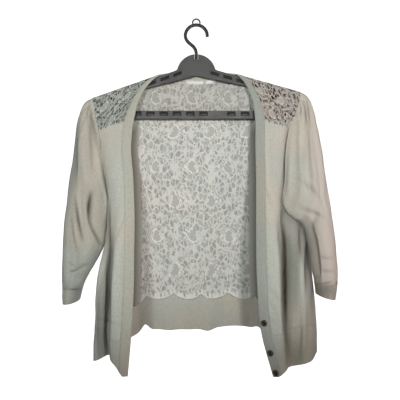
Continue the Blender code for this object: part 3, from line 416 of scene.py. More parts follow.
def back_surface(rows, columns):
    """Points of the back at row numbers and at column numbers 0 to BACK_LAST, side seam to side seam.

    Above the underarm its sides are the back armholes. The shoulder and side seams are those of the fronts:
    the small differences are carried in from the seam and fade within two columns or half a row. At the
    neck the back hangs straight down from the neck seam, up to its corners.
    """
    rows, columns = np.asarray(rows, float), np.asarray(columns, float)
    half = PANEL_COLUMNS / 2
    knots = np.cumsum([0, half, half, NECK_COLUMNS / 2, NECK_COLUMNS / 2, half, half])
    share = np.clip((columns - PANEL_COLUMNS) / NECK_COLUMNS, 0, 1)
    neck = (share > 0) & (share < 1)
    round_neck = (share + (1 - np.cos(math.pi * share)) / 2) / 2
    eased = np.where(neck, PANEL_COLUMNS + NECK_COLUMNS * round_neck, columns)
    grid = np.array([smooth(knots, points, eased) for points in read_rows(back_table(), rows)])
    hem_ripple(grid)
    for side, place, end in ((-1, 0, 0), (1, BACK_LAST, -1)):
        if columns[end] == place:
            off = front_surface(side, rows, [2])[:, 0] - grid[:, end]
            off[rows < UNDERARM_ROW] = 0
            near = np.clip(1 - np.abs(columns - place) / 2, 0, 1)
            grid += off[:, None] * near[None, :, None]
    left, right = (front_surface(side, [0], [1])[0, 0] for side in (-1, 1))
    line = neck_line(left, NECK_SEAM, right, round_neck)
    for side, inner in ((-1, PANEL_COLUMNS), (1, BACK_LAST - PANEL_COLUMNS)):
        away = side * (columns - inner)
        line[away >= 0] = front_surface(side, [0], 1 + away[away >= 0] / PANEL_COLUMNS)[0]
    top = grid[:1].copy() if rows[0] == 0 else np.array([smooth(knots, back_table()[0], eased)])
    shift = (line - top[0])[None] * np.clip(1 - rows / 0.5, 0, 1)[:, None, None]
    corner = np.abs(2 * share - 1)[None, :, None] ** 8
    fall = NECK_DROP * rows[:, None, None]
    held = line[None] + (1 - corner) * fall + corner * (grid - top)
    hold = np.clip((2 - rows) / 0.5, 0, 1)[:, None, None] * neck[None, :, None]
    return held * hold + (grid + shift) * (1 - hold)


across_back = chord_knots(back_surface([0, UNDERARM_ROW], np.linspace(0, BACK_LAST, 61))[1])[-1]
print("back at the underarm, mm", round(across_back, 1))

# %% [markdown]
# A sleeve starts at the armhole, which is the front's side edge and the back's together, and goes on from
# ring to ring. Its points stand at the same angles in every ring, so its wales run straight down the tube.

# %% Surface of a sleeve
def joined(grid, closed):
    """The grid, with its first column again at its end where it runs round a tube."""
    return np.concatenate([grid, grid[:, :1]], axis=1) if closed else grid


def around_oval(points):
    """Angles from 0 to pi for the points of a seam, even in length and in height by halves."""
    share = chord_knots(points) / chord_knots(points)[-1]
    return (math.pi * share + np.arccos(1 - 2 * share)) / 2


def near_line(across, down, fold):
    """One on a fold's line from start to end, falling smoothly to nothing a few widths away."""
    start, end = np.array(fold.start), np.array(fold.end)
    run = end - start
    share = np.clip(((across - start[0]) * run[0] + (down - start[1]) * run[1]) / (run @ run), 0, 1)
    off = np.hypot(across - start[0] - share * run[0], down - start[1] - share * run[1])
    return np.exp(-((off / fold.width) ** 2))


def sleeve_rings(side, front_seam, back_seam):
    """The sleeve's rings and the angle of each of their points.

    The first ring is the armhole: shoulder tip, front seam, underarm, back seam. Each later ring is an
    oval between its outer and inner contour points, as deep in front and behind as the table says.
    """
    table = LEFT_SLEEVE if side < 0 else RIGHT_SLEEVE
    turn = np.concatenate([around_oval(front_seam), math.pi + around_oval(back_seam[::-1])[1:-1]])
    rings = [np.concatenate([front_seam, back_seam[-2:0:-1]])]
    for ring in table:
        outer = np.array([ring.outer[0], 0, ring.outer[1]], float)
        inner = np.array([ring.inner[0], 0, ring.inner[1]], float)
        points = (outer + inner) / 2 + np.cos(turn)[:, None] * (outer - inner) / 2
        points[:, 1] = np.where(turn <= math.pi, ring.front, -ring.back) * np.sin(turn)
        rings.append(points)
    return np.array(rings), turn


def sleeve_surface(side, steps, count):
    """Points of a sleeve at ring numbers: 0 armhole, 1 cap and on to the cuff's end; count points a half."""
    rows = np.linspace(0, UNDERARM_ROW, count + 1)
    front_seam = front_surface(side, rows, [2])[:, 0]
    first = 0 if side < 0 else BACK_LAST - 3
    back_rows = back_surface(rows, np.linspace(first, first + 3, 4))
    back_seam = back_rows[:, 0 if side < 0 else -1]
    back_seam[0], back_seam[-1] = front_seam[0], front_seam[-1]
    rings, turn = sleeve_rings(side, front_seam, back_seam)
    return read_rows(rings, steps), turn


for side, word in WORDS.items():
    ring = sleeve_surface(side, [1], 20)[0][0]
    print(word, "sleeve round its cap, mm", round(chord_knots(joined(ring[None], True)[0])[-1], 1))

# %% [markdown]
# Cloth is a thin wall, so each piece is two skins and a rim, made at once from a grid of points: the outer
# skin is moved along the outward direction by the piece's relief, the inner one by the wall. A grid keeps
# its own coordinates across and down the cloth, so a knit or a rib runs with the cloth and not with the room.
# Fields of numbers on the points, such as where a thick thread lies, tell the finish what to show there.

# %% Grid of a cloth
Cloth = namedtuple("Cloth", "points out across down")


def outward(grid, sign, closed=False):
    """Unit directions square to a grid: the cross product of the way across and the way down."""
    if closed:
        ring = np.concatenate([grid[:, -1:], grid, grid[:, :1]], axis=1)
    else:
        before, after = 2 * grid[:, :1] - grid[:, 1:2], 2 * grid[:, -1:] - grid[:, -2:-1]
        ring = np.concatenate([before, grid, after], axis=1)
    ring = np.concatenate([2 * ring[:1] - ring[1:2], ring, 2 * ring[-1:] - ring[-2:-1]], axis=0)
    along = ring[1:-1, 2:] - ring[1:-1, :-2]
    downward = ring[2:, 1:-1] - ring[:-2, 1:-1]
    normal = sign * np.cross(along, downward)
    return normal / np.maximum(np.linalg.norm(normal, axis=2, keepdims=True), 1e-9)


def laid(grid, sign, closed=False):
    """The grid with its outward directions and its distances across and down the cloth, in mm."""
    steps = np.linalg.norm(np.diff(grid, axis=1), axis=2)
    across = np.concatenate([np.zeros((len(grid), 1)), np.cumsum(steps, axis=1)], axis=1)
    across -= across.mean(axis=1, keepdims=True)
    steps = np.linalg.norm(np.diff(grid, axis=0), axis=2)
    down = np.concatenate([np.zeros((1, grid.shape[1])), np.cumsum(steps, axis=0)], axis=0)
    return Cloth(grid, outward(grid, sign, closed), across, down)


def cut(cloth, rows=slice(None), columns=slice(None)):
    """Part of a cloth, with its directions and distances kept."""
    return Cloth(*(field[rows, columns] for field in cloth))


def grid_area(points, closed=False):
    """Area of a grid in square metres: half the cross product of each cell's diagonals."""
    ring = joined(points, closed)
    face = np.cross(ring[1:, 1:] - ring[:-1, :-1], ring[1:, :-1] - ring[:-1, 1:])
    return float(np.linalg.norm(face, axis=2).sum() / 2 * MM * MM)


print("fields of a cloth:", ", ".join(Cloth._fields))

# %% [markdown]
# The two skins and the rim go into one mesh as whole arrays. The cloth's own coordinates become its UV map.

# %% Mesh of a piece
def mesh_piece(name, vertices, quads, material, fields=(), places=None):
    """An object from points in mm and faces of four point numbers, smooth, with named fields on its points.

    Places are the points' own coordinates on the cloth, kept as its UV map.
    """
    mesh = bpy.data.meshes.new(name)
    mesh.vertices.add(len(vertices))
    mesh.vertices.foreach_set("co", (np.asarray(vertices) * MM).astype(np.float32).ravel())
    mesh.loops.add(quads.size)
    mesh.loops.foreach_set("vertex_index", quads.astype(np.int32).ravel())
    mesh.polygons.add(len(quads))
    mesh.polygons.foreach_set("loop_start", np.arange(0, quads.size, 4, dtype=np.int32))
    mesh.polygons.foreach_set("use_smooth", np.ones(len(quads), bool))
    mesh.update(calc_edges=True)
    mesh.validate()
    if places is not None:
        layer = mesh.uv_layers.new(name="cloth")
        index = np.empty(len(mesh.loops), np.int32)
        mesh.loops.foreach_get("vertex_index", index)
        layer.data.foreach_set("uv", (places[index] * MM).astype(np.float32).ravel())
    for word, values in dict(fields).items():
        field = mesh.attributes.new(word, "FLOAT", "POINT")
        field.data.foreach_set("value", values.astype(np.float32).ravel())
    mesh.materials.append(material)
    piece = bpy.data.objects.new(name, mesh)
    bpy.context.scene.collection.objects.link(piece)
    return piece


def shell(name, cloth, wall, material, closed=False, above=0.0, below=0.0, fields=(), inner_fields=(),
          sign=1):
    """A wall: the outer skin lifted by above, the inner skin wall deep and pressed in further by below.

    Both skins carry the fields, but for those that inner_fields gives the inner skin anew. With the sign -1
    the grid runs the other way round, so the faces are turned to look outwards.
    """
    rows, columns = cloth.points.shape[:2]
    above, below = (np.broadcast_to(field, (rows, columns))[..., None] for field in (above, below))
    outer = cloth.points + cloth.out * above
    inner = cloth.points - cloth.out * (wall + below)
    ids = joined(np.arange(rows * columns).reshape(rows, columns), closed)
    a, b, c, d = ids[:-1, :-1].ravel(), ids[:-1, 1:].ravel(), ids[1:, 1:].ravel(), ids[1:, :-1].ravel()
    size = rows * columns
    rims = [(ids[0, 1:], ids[0, :-1]), (ids[-1, :-1], ids[-1, 1:])]
    if not closed:
        rims += [(ids[:-1, 0], ids[1:, 0]), (ids[1:, -1], ids[:-1, -1])]
    quads = [np.stack([a, b, c, d], axis=1), np.stack([a, d, c, b], axis=1) + size]
    quads += [np.stack([p, q, q + size, p + size], axis=1) for p, q in rims]
    quads = np.concatenate(quads)
    if sign < 0:
        quads = quads[:, ::-1]
    places = np.stack([cloth.across.ravel(), -cloth.down.ravel()], axis=1)
    front, behind = dict(fields), {**dict(fields), **dict(inner_fields)}
    fields = {word: np.concatenate([front[word].ravel(), behind[word].ravel()]) for word in front}
    vertices = np.concatenate([outer.reshape(-1, 3), inner.reshape(-1, 3)])
    return mesh_piece(name, vertices, quads, material, fields, np.concatenate([places, places]))


# %% [markdown]
# Each finished piece hides the solid it stands for, rides on the one body, and prints the flat size and
# area to which it was cut, so that the cloth can be cut again from the figures.

# %% What a piece is
def sewn(piece, node, cloth, closed=False, turned=0.0):
    """Hides the node that a cloth piece stands for, puts the piece on the one body, and prints the flat size
    and area that it was cut to.

    turned is the length in mm that is turned in or caught in a seam, out of sight.
    """
    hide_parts(node)
    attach(piece, "root")
    area = grid_area(cloth.points, closed)
    ring = joined(cloth.points, closed)
    width = np.linalg.norm(np.diff(ring, axis=1), axis=2).sum(axis=1).max() * MM
    length = np.linalg.norm(np.diff(cloth.points, axis=0), axis=2).sum(axis=0).max() * MM
    length += turned * MM
    area += width * turned * MM
    print(f"{piece.name}: {width * 1000:.0f} x {length * 1000:.0f} mm, {area * 1e4:.0f} cm2, "
          f"{len(piece.data.polygons) * 2} triangles")


# %% [markdown]
# Creases are laid where the photograph shows them, as soft troughs or ridges along bent paths in the
# picture. Each is pressed into the side of the cloth that faces the camera, or the side away from it for the
# hidden ones, so it lies on the garment seen from anywhere. Each crease also has a tone, painted shade on
# its yarn; one with no depth is only painted shade.

# %% Creases
Crease = namedtuple("Crease", "name start bend end width depth face tone other", defaults=(None, None))
Crumple = namedtuple("Crumple", "size depth seed")
PATH_STEPS = 33
TONE_PER_DEPTH = 0.06
TONE_RANGE = (-0.05, 0.4)
CRUMPLE_WAVES = 9


def pressed(cloth, creases):
    """Relief in mm of the creases and their tone, from nothing to one.

    Relief is depth x exp(-(d / width)^2), d in mm from the path, faded at both ends. A crease with another
    width has it on the right of its path, for a fold with a lip. Tone is painted shade, how dark the yarn is
    painted along the crease; where a row gives none, it follows from the depth. The face is 1 in front and -1
    behind.
    """
    px, py = seen(cloth.points)
    relief, tone = np.zeros(px.shape), np.zeros(px.shape)
    for crease in creases:
        t = np.linspace(0, 1, PATH_STEPS)[:, None]
        start, bend, end = (np.array(p, float) for p in (crease.start, crease.bend, crease.end))
        path = start * (1 - t) ** 2 + 2 * bend * t * (1 - t) + end * t * t
        best, share, right = np.full(px.shape, 1e9), np.zeros(px.shape), np.zeros(px.shape, bool)
        for k in range(len(path) - 1):
            run = path[k + 1] - path[k]
            s = np.clip(((px - path[k, 0]) * run[0] + (py - path[k, 1]) * run[1]) / (run @ run), 0, 1)
            off_x, off_y = px - path[k, 0] - s * run[0], py - path[k, 1] - s * run[1]
            off = np.hypot(off_x, off_y)
            nearer = off < best
            best = np.where(nearer, off, best)
            share = np.where(nearer, (k + s) / (len(path) - 1), share)
            right = np.where(nearer, run[0] * off_y - run[1] * off_x < 0, right)
        width = np.where(right, crease.other or crease.width, crease.width)
        d = best * MM_PER_PIXEL / width
        taper = np.clip(np.sin(math.pi * np.clip(share, 0.02, 0.98)), 0, 1) ** 0.7
        facing = -crease.face * cloth.out[..., 1]
        amount = np.exp(-d * d) * taper
        relief += crease.depth * amount * np.clip(facing * 2.5, 0, 1)
        # The tone is painted shade laid on the yarn along the crease.
        grey = crease.tone
        if grey is None:
            grey = np.clip(-crease.depth * TONE_PER_DEPTH, *TONE_RANGE)
        tone += grey * amount * np.clip(facing * 4 + 0.9, 0, 1)
    return relief, np.clip(tone, 0, 1)


def crumpled(cloth, crumples, side):
    """Slow uneven waves: sines of random direction and phase over x and z, which run on across seams."""
    x, z = cloth.points[..., 0], cloth.points[..., 2]
    total = 0
    for size, depth, seed in crumples:
        rng = np.random.default_rng(seed + side)
        relief = np.zeros(x.shape)
        for _ in range(CRUMPLE_WAVES):
            turn, phase = rng.uniform(0, math.pi), rng.uniform(0, math.tau)
            scale = size * rng.uniform(0.6, 1.8)
            along = x * math.cos(turn) * 1.4 + z * math.sin(turn) * 0.5
            relief += np.sin(along * math.tau / scale + phase + np.sin(z / size * 2 + phase))
        total += relief * depth / 3
    return total


def moved(cloth, relief, sign=0, closed=False):
    """The cloth moved along its outward directions by the relief. With a sign they are worked out again."""
    points = cloth.points + cloth.out * relief[..., None]
    return cloth._replace(points=points, out=outward(points, sign, closed) if sign else cloth.out)


# %% [markdown]
# Finishes. The knit is a fine matt yarn: small interlocking stitches in columns, a soft fuzz that lightens at
# grazing angles, a fine grain, and a slow unevenness of tone, cooler here and warmer there. The stitches
# follow the cloth's own coordinates, and the field "fold" carries painted shade that darkens the yarn in
# creases.

# %% Node helpers
class Nodes:
    """A short way to write a node tree: each call adds one node, sets its values and links its inputs."""

    def __init__(self, name):
        self.material = bpy.data.materials.new(name)
        self.material.use_nodes = True
        self.tree = self.material.node_tree
        self.shader = self.tree.nodes["Principled BSDF"]

    def add(self, kind, inputs=(), out=0, **settings):
        node = self.tree.nodes.new(kind)
        for word, value in settings.items():
            setattr(node, word, value)
        for key, value in dict(inputs).items():
            self.feed(node.inputs[key], value)
        return node.outputs[out]

    def feed(self, socket, value):
        if isinstance(value, bpy.types.NodeSocket):
            self.tree.links.new(value, socket)
        else:
            socket.default_value = value

    def math(self, operation, *values):
        return self.add("ShaderNodeMath", dict(enumerate(values)), operation=operation)

    def times(self, one, two):
        return self.math("MULTIPLY", one, two)

    def plus(self, one, two):
        return self.math("ADD", one, two)

    def wave(self, value, length):
        """A sine of the value, with waves of the given length."""
        return self.math("SINE", self.times(value, math.tau / length))

    def mix(self, factor, first, second):
        return self.add("ShaderNodeMix", {0: factor, 6: first, 7: second}, out=2, data_type="RGBA")

    def noise(self, place, scale, detail=2.0, rough=0.5):
        inputs = {"Vector": place, "Scale": scale, "Detail": detail, "Roughness": rough}
        return self.add("ShaderNodeTexNoise", inputs)

    def ramp(self, value, low, high, out_low=0.0, out_high=1.0):
        """A smooth step from out_low to out_high while the value goes from low to high."""
        inputs = dict(enumerate((value, low, high, out_low, out_high)))
        return self.add("ShaderNodeMapRange", inputs, interpolation_type="SMOOTHSTEP")

    def cloth(self):
        """Metres across and down the cloth."""
        return self.add("ShaderNodeUVMap", uv_map="cloth")

    def place(self):
        """Metres in the object's own space."""
        return self.add("ShaderNodeTexCoord", out=3)

    def field(self, name):
        return self.add("ShaderNodeAttribute", out=2, attribute_name=name)

    def axes(self, vector):
        node = self.tree.nodes.new("ShaderNodeSeparateXYZ")
        self.tree.links.new(vector, node.inputs[0])
        return node.outputs

    def bump(self, height, distance, strength):
        inputs = {"Height": height, "Distance": distance, "Strength": strength}
        return self.add("ShaderNodeBump", inputs)

    def finish(self, **values):
        for word, value in values.items():
            self.feed(self.shader.inputs[word.replace("_", " ")], value)
        return self.material


def rgb(colour, by=1.0):
    """A colour for a socket, its three parts times one number or three."""
    return (*np.multiply(colour, by).tolist(), 1.0)


print("a warm grey:", rgb((0.5, 0.5, 0.5), (1.0, 0.95, 0.9)))

# %% [markdown]
# Knit: V stitches stand in columns, the wales. A sine across and a leaning sine down give their height, which
# moves the light, because single stitches are finer than the mesh; the hollows between them are also painted
# darker as painted shade.

# %% Knit finish
def stitches(nodes, wale, course):
    """Height of plain knitting: each wale is a column of V stitches, its legs leaning into each course."""
    x, y, _ = nodes.axes(nodes.cloth())
    column = nodes.times(x, 1 / wale)
    lean = nodes.math("PINGPONG", column, 0.5)
    row = nodes.plus(nodes.times(y, 1 / course), nodes.times(lean, 1.3))
    leg, ditch = nodes.wave(row, 1.0), nodes.wave(lean, 1.0)
    return nodes.plus(nodes.times(leg, 0.35), nodes.math("ABSOLUTE", ditch))


COOL = (0.92, 1.0, 0.99)
WARM = (1.02, 0.96, 0.88)
KNIT_PAINTED_SHADE = (0.05, 0.04, 0.022)
STITCH_DEPTH = 0.00035


def knit_look(name, colour, shade, warm=None, wale=0.0016, course=0.0011):
    """Fine matt knit: colour, its darker tone in the hollows between stitches, fuzz and slow unevenness.

    warm gives two places across the garment in metres and the colour that it turns to between them, a painted
    warm light on that side.
    """
    nodes = Nodes(name)
    height = stitches(nodes, wale, course)
    place = nodes.place()
    slow = nodes.noise(place, 9.0, 3.0)
    fuzz = nodes.noise(place, 900.0, 3.0, 0.7)
    streak = nodes.noise(nodes.add("ShaderNodeMapping", {"Vector": nodes.cloth(), "Scale": (260, 6, 1)}), 1.0)
    tone = nodes.plus(nodes.times(slow, 0.5), nodes.times(streak, 0.5))
    base = nodes.mix(nodes.ramp(tone, 0.3, 0.7), rgb(shade), rgb(colour))
    tint = nodes.noise(place, 5.5, 1.0)
    base = nodes.mix(nodes.ramp(tint, 0.42, 0.60, 0.0, 0.8), base, rgb(colour, COOL))
    base = nodes.mix(nodes.ramp(tint, 0.50, 0.36, 0.0, 0.7), base, rgb(colour, WARM))
    grain = nodes.noise(place, 380.0, 2.0, 0.6)
    base = nodes.mix(nodes.ramp(grain, 0.56, 0.40, 0.0, 0.30), base, rgb(colour, 0.55))
    # Painted shade: the hollows between stitches are darker.
    base = nodes.mix(nodes.times(nodes.ramp(height, 0.55, 0.05), 0.45), base, rgb(colour, 0.72))
    # Painted warm light: past the first place the knit turns lighter and warmer.
    if warm is not None:
        x = nodes.axes(place)[0]
        base = nodes.mix(nodes.ramp(x, *warm[0]), base, rgb(warm[1]))
    # Painted shade: the field "fold" darkens the yarn along the creases.
    base = nodes.mix(nodes.field("fold"), base, rgb(KNIT_PAINTED_SHADE))
    fine = nodes.plus(height, nodes.times(fuzz, 0.5))
    rough = nodes.ramp(fuzz, 0.3, 0.7, 0.82, 0.95)
    return nodes.finish(Base_Color=base, Roughness=rough, Normal=nodes.bump(fine, STITCH_DEPTH, 0.8),
                        Sheen_Weight=0.25, Sheen_Roughness=0.5, Specular_IOR_Level=0.25)


# %% [markdown]
# Lace is opaque thread on fine net, and what lies behind the net is painted in it as painted shade, so no
# light has to pass through it. Between its cords and filled shapes runs a web of uneven cells, whose borders
# are threads.

# %% Lace finish
NET_PITCH = 0.0026
NET_HEIGHT = NET_PITCH / 0.58
LACE_WARM = (1.02, 0.985, 0.96)
LACE_COOL = (0.97, 1.0, 1.0)
LACE_PAINTED_SHADE = (0.12, 0.11, 0.085)
THREAD_DEPTH = 0.0006


def lace_look(name, thread, cord, ground, hollow, veil, gap, cell, slant, stretch, width, filler):
    """Lace: cords and filled shapes from the piece's fields, the web between them, fine net in the holes.

    The fields are distances in mm, above nothing inside. The web's cells are cell metres wide and stretched
    and slanted; its threads are width of a cell, the finer ones filler. The net's thread has the colour
    ground over hollow, and between the web's threads it is ground times gap, in patches veil; hollow, gap and
    veil are painted shade for what lies behind the net.
    """
    nodes = Nodes(name)
    cloth = nodes.cloth()
    wander = nodes.add("ShaderNodeTexNoise", {"Vector": cloth, "Scale": 90.0, "Detail": 1.0}, out=1)
    shift = nodes.add("ShaderNodeVectorMath", {0: wander, "Scale": 0.004}, operation="SCALE")
    bent = nodes.add("ShaderNodeVectorMath", {0: cloth, 1: shift}, operation="ADD")
    scale = (1 / cell, stretch / cell, 1)
    turned = nodes.add("ShaderNodeMapping", {"Vector": bent, "Rotation": (0, 0, slant), "Scale": scale})
    web, fine = (nodes.add("ShaderNodeTexVoronoi", {"Vector": turned, "Scale": size},
                           feature="DISTANCE_TO_EDGE") for size in (1.0, 2.3))
    patch = nodes.ramp(nodes.noise(cloth, 55.0, 1.0), 0.48, 0.60)
    web = nodes.ramp(web, width + 0.05, width)
    fine = nodes.times(nodes.ramp(fine, filler + 0.06, filler), patch)
    hole = nodes.ramp(nodes.field("hole"), -0.3, 0.3)
    web = nodes.times(nodes.math("MAXIMUM", web, fine), nodes.math("SUBTRACT", 1.0, hole))
    filled = nodes.ramp(nodes.field("filled"), -0.35, 0.25)
    corded = nodes.ramp(nodes.field("cord"), -0.35, 0.25)
    body = nodes.math("MAXIMUM", web, filled)
    x, y, _ = nodes.axes(cloth)
    across, up = nodes.times(x, math.tau / NET_PITCH), nodes.times(y, math.tau / NET_HEIGHT)
    one, two = (nodes.math("ABSOLUTE", nodes.math("SINE", nodes.math(way, across, up)))
                for way in ("ADD", "SUBTRACT"))
    net = nodes.math("MAXIMUM", one, two)
    # Painted shade: the net's holes, and the open net between the web's threads, show the dark behind it.
    mesh = nodes.mix(nodes.ramp(net, 0.6, 0.97), rgb(hollow), rgb(ground))
    veiled = nodes.ramp(nodes.noise(cloth, 70.0, 1.0), 0.45, 0.58)
    open_net = nodes.mix(veiled, rgb(ground, gap), rgb(veil))
    mesh = nodes.mix(hole, open_net, mesh)
    fibre = nodes.noise(nodes.place(), 1200.0, 3.0, 0.7)
    slow = nodes.noise(nodes.place(), 11.0, 2.0)
    pale = nodes.mix(nodes.ramp(slow, 0.38, 0.62), rgb(thread, LACE_COOL), rgb(thread, LACE_WARM))
    weave = nodes.noise(cloth, 420.0, 2.0, 0.6)
    pale = nodes.mix(nodes.ramp(weave, 0.60, 0.36, 0.0, 0.45), pale, rgb(ground))
    base = nodes.mix(body, mesh, pale)
    base = nodes.mix(corded, base, rgb(cord))
    # Painted shade: the field "fold" darkens the lace in the strips beside the bands and along the neck.
    base = nodes.mix(nodes.field("fold"), base, rgb(LACE_PAINTED_SHADE))
    height = nodes.plus(body, corded)
    height = nodes.plus(height, nodes.times(net, 0.2))
    height = nodes.plus(height, nodes.times(fibre, 0.5))
    return nodes.finish(Base_Color=base, Roughness=0.8, Normal=nodes.bump(height, THREAD_DEPTH, 1.0),
                        Sheen_Weight=0.15, Specular_IOR_Level=0.3)


# %% [markdown]
# The hard and small things: satin plastic with scuffs for the hanger, horn-like plastic with a bronze rim for
# the buttons, and woven satin for the blank labels.

# %% Finishes of the hanger, buttons and labels
def plastic_look(name, colour, rough=0.42):
    """Grey moulded plastic: satin, with a faint orange-peel skin, dust and small scuffs."""
    nodes = Nodes(name)
    place = nodes.place()
    slow, fine = nodes.noise(place, 30.0, 4.0), nodes.noise(place, 700.0, 2.0)
    scuff = nodes.noise(nodes.add("ShaderNodeMapping", {"Vector": place, "Scale": (40, 400, 900)}), 1.0, 2.0)
    base = nodes.mix(nodes.ramp(slow, 0.35, 0.7), rgb(colour), rgb(colour, 1.18))
    scuffed = nodes.ramp(scuff, 0.5, 0.8, 0.0, 0.2)
    roughness = nodes.plus(scuffed, nodes.ramp(slow, 0.3, 0.7, rough, rough + 0.1))
    return nodes.finish(Base_Color=base, Roughness=roughness, Normal=nodes.bump(fine, 0.00012, 0.5))


def button_look(name):
    """Dark horn-like plastic with bronze on its raised rim."""
    nodes = Nodes(name)
    place = nodes.place()
    swirl = nodes.noise(place, 260.0, 4.0, 0.6)
    rim = nodes.ramp(nodes.field("rim"), 0.4, 0.8)
    base = nodes.mix(nodes.ramp(swirl, 0.4, 0.65), rgb((0.018, 0.014, 0.012)), rgb((0.05, 0.036, 0.024)))
    base = nodes.mix(nodes.times(rim, 0.8), base, rgb((0.30, 0.19, 0.09)))
    return nodes.finish(Base_Color=base, Roughness=nodes.ramp(swirl, 0.3, 0.7, 0.22, 0.4),
                        Metallic=nodes.times(rim, 0.7), Normal=nodes.bump(swirl, 0.0002, 0.4))


def label_look(name):
    """Blank white satin label: fine weft ribs and a stitched border."""
    nodes = Nodes(name)
    y = nodes.axes(nodes.cloth())[1]
    weft = nodes.wave(y, 0.0007)
    edge = nodes.ramp(nodes.field("edge"), 0.5, 0.9)
    base = nodes.mix(nodes.times(edge, 0.9), rgb((0.74, 0.74, 0.71)), rgb((0.12, 0.12, 0.115)))
    return nodes.finish(Base_Color=base, Roughness=nodes.ramp(weft, -1.0, 1.0, 0.45, 0.6),
                        Normal=nodes.bump(weft, 0.0001, 0.5), Sheen_Weight=0.2)


# %% [markdown]
# The finishes as the photograph's soft light shows them: ivory, a little darker in band and rib, and darker
# and warmer at the low right, where the right band is a darker copy as painted shade and the right sleeve and
# cuff turn warmer as painted warm light. Each yoke's net is painted near black and its thread darker, as
# painted shade of the dark inside of the garment behind it.

# %% Finishes
BAND_KNIT = dict(wale=0.0013, course=0.0016)
RIB_KNIT = dict(course=0.0013)
YOKE_WEB = dict(gap=0.2, cell=0.0072, stretch=0.62, width=0.105, filler=0.03)
KNIT = knit_look("Ivory knit", (0.645, 0.64, 0.575), (0.55, 0.55, 0.495))
# Painted warm light: the right sleeve's knit turns lighter and warmer towards its outer side.
KNIT_WARM_LIT = knit_look("Ivory knit right", (0.64, 0.625, 0.56), (0.55, 0.54, 0.48),
                      warm=((0.19, 0.29), (0.80, 0.70, 0.635)))
BAND = knit_look("Ivory band", (0.585, 0.56, 0.485), (0.53, 0.51, 0.44), **BAND_KNIT)
# Painted shade: the right band is a darker copy of the left one.
BAND_RIGHT_SHADED = knit_look("Ivory band right", (0.455, 0.465, 0.42), (0.41, 0.42, 0.38), **BAND_KNIT)
RIB = knit_look("Ivory rib", (0.59, 0.58, 0.515), (0.53, 0.52, 0.46), **RIB_KNIT)
# Painted warm light: the right cuff's rib is a warmer copy of the rib.
RIB_WARM_LIT = knit_look("Ivory rib right", (0.60, 0.53, 0.47), (0.53, 0.47, 0.42), **RIB_KNIT)
# Painted shade: on the back, hollow, gap and veil are grey for the dark that lies behind the net.
BACK_LACE = lace_look("Back lace", thread=(0.65, 0.655, 0.62), cord=(0.74, 0.74, 0.70),
                      ground=(0.47, 0.47, 0.445), hollow=(0.36, 0.365, 0.34), veil=(0.43, 0.43, 0.40),
                      gap=0.72, cell=0.0088, slant=0.5, stretch=0.6, width=0.085, filler=0.05)
# Painted shade: the yokes' lace is a darker copy of the back's, its net near black for the dark inside.
YOKE_LEFT = lace_look("Yoke lace left", thread=(0.41, 0.44, 0.40), cord=(0.62, 0.65, 0.60),
                      ground=(0.09, 0.095, 0.09), hollow=(0.04, 0.045, 0.04), veil=(0.12, 0.13, 0.125),
                      slant=-0.7, **YOKE_WEB)
YOKE_RIGHT = lace_look("Yoke lace right", thread=(0.48, 0.44, 0.405), cord=(0.72, 0.66, 0.61),
                       ground=(0.09, 0.085, 0.08), hollow=(0.04, 0.038, 0.035), veil=(0.15, 0.135, 0.12),
                       slant=0.7, **YOKE_WEB)
LABEL = label_look("Blank label")
BUTTON = button_look("Dark button")
PLASTIC = plastic_look("Grey plastic", (0.018, 0.0185, 0.018))
# Painted shade: near-black plastic for the floors of the hanger's slots.
SLOT_SHADE = plastic_look("Dark recess", (0.006, 0.006, 0.006), 0.7)
print("finishes", len(bpy.data.materials))
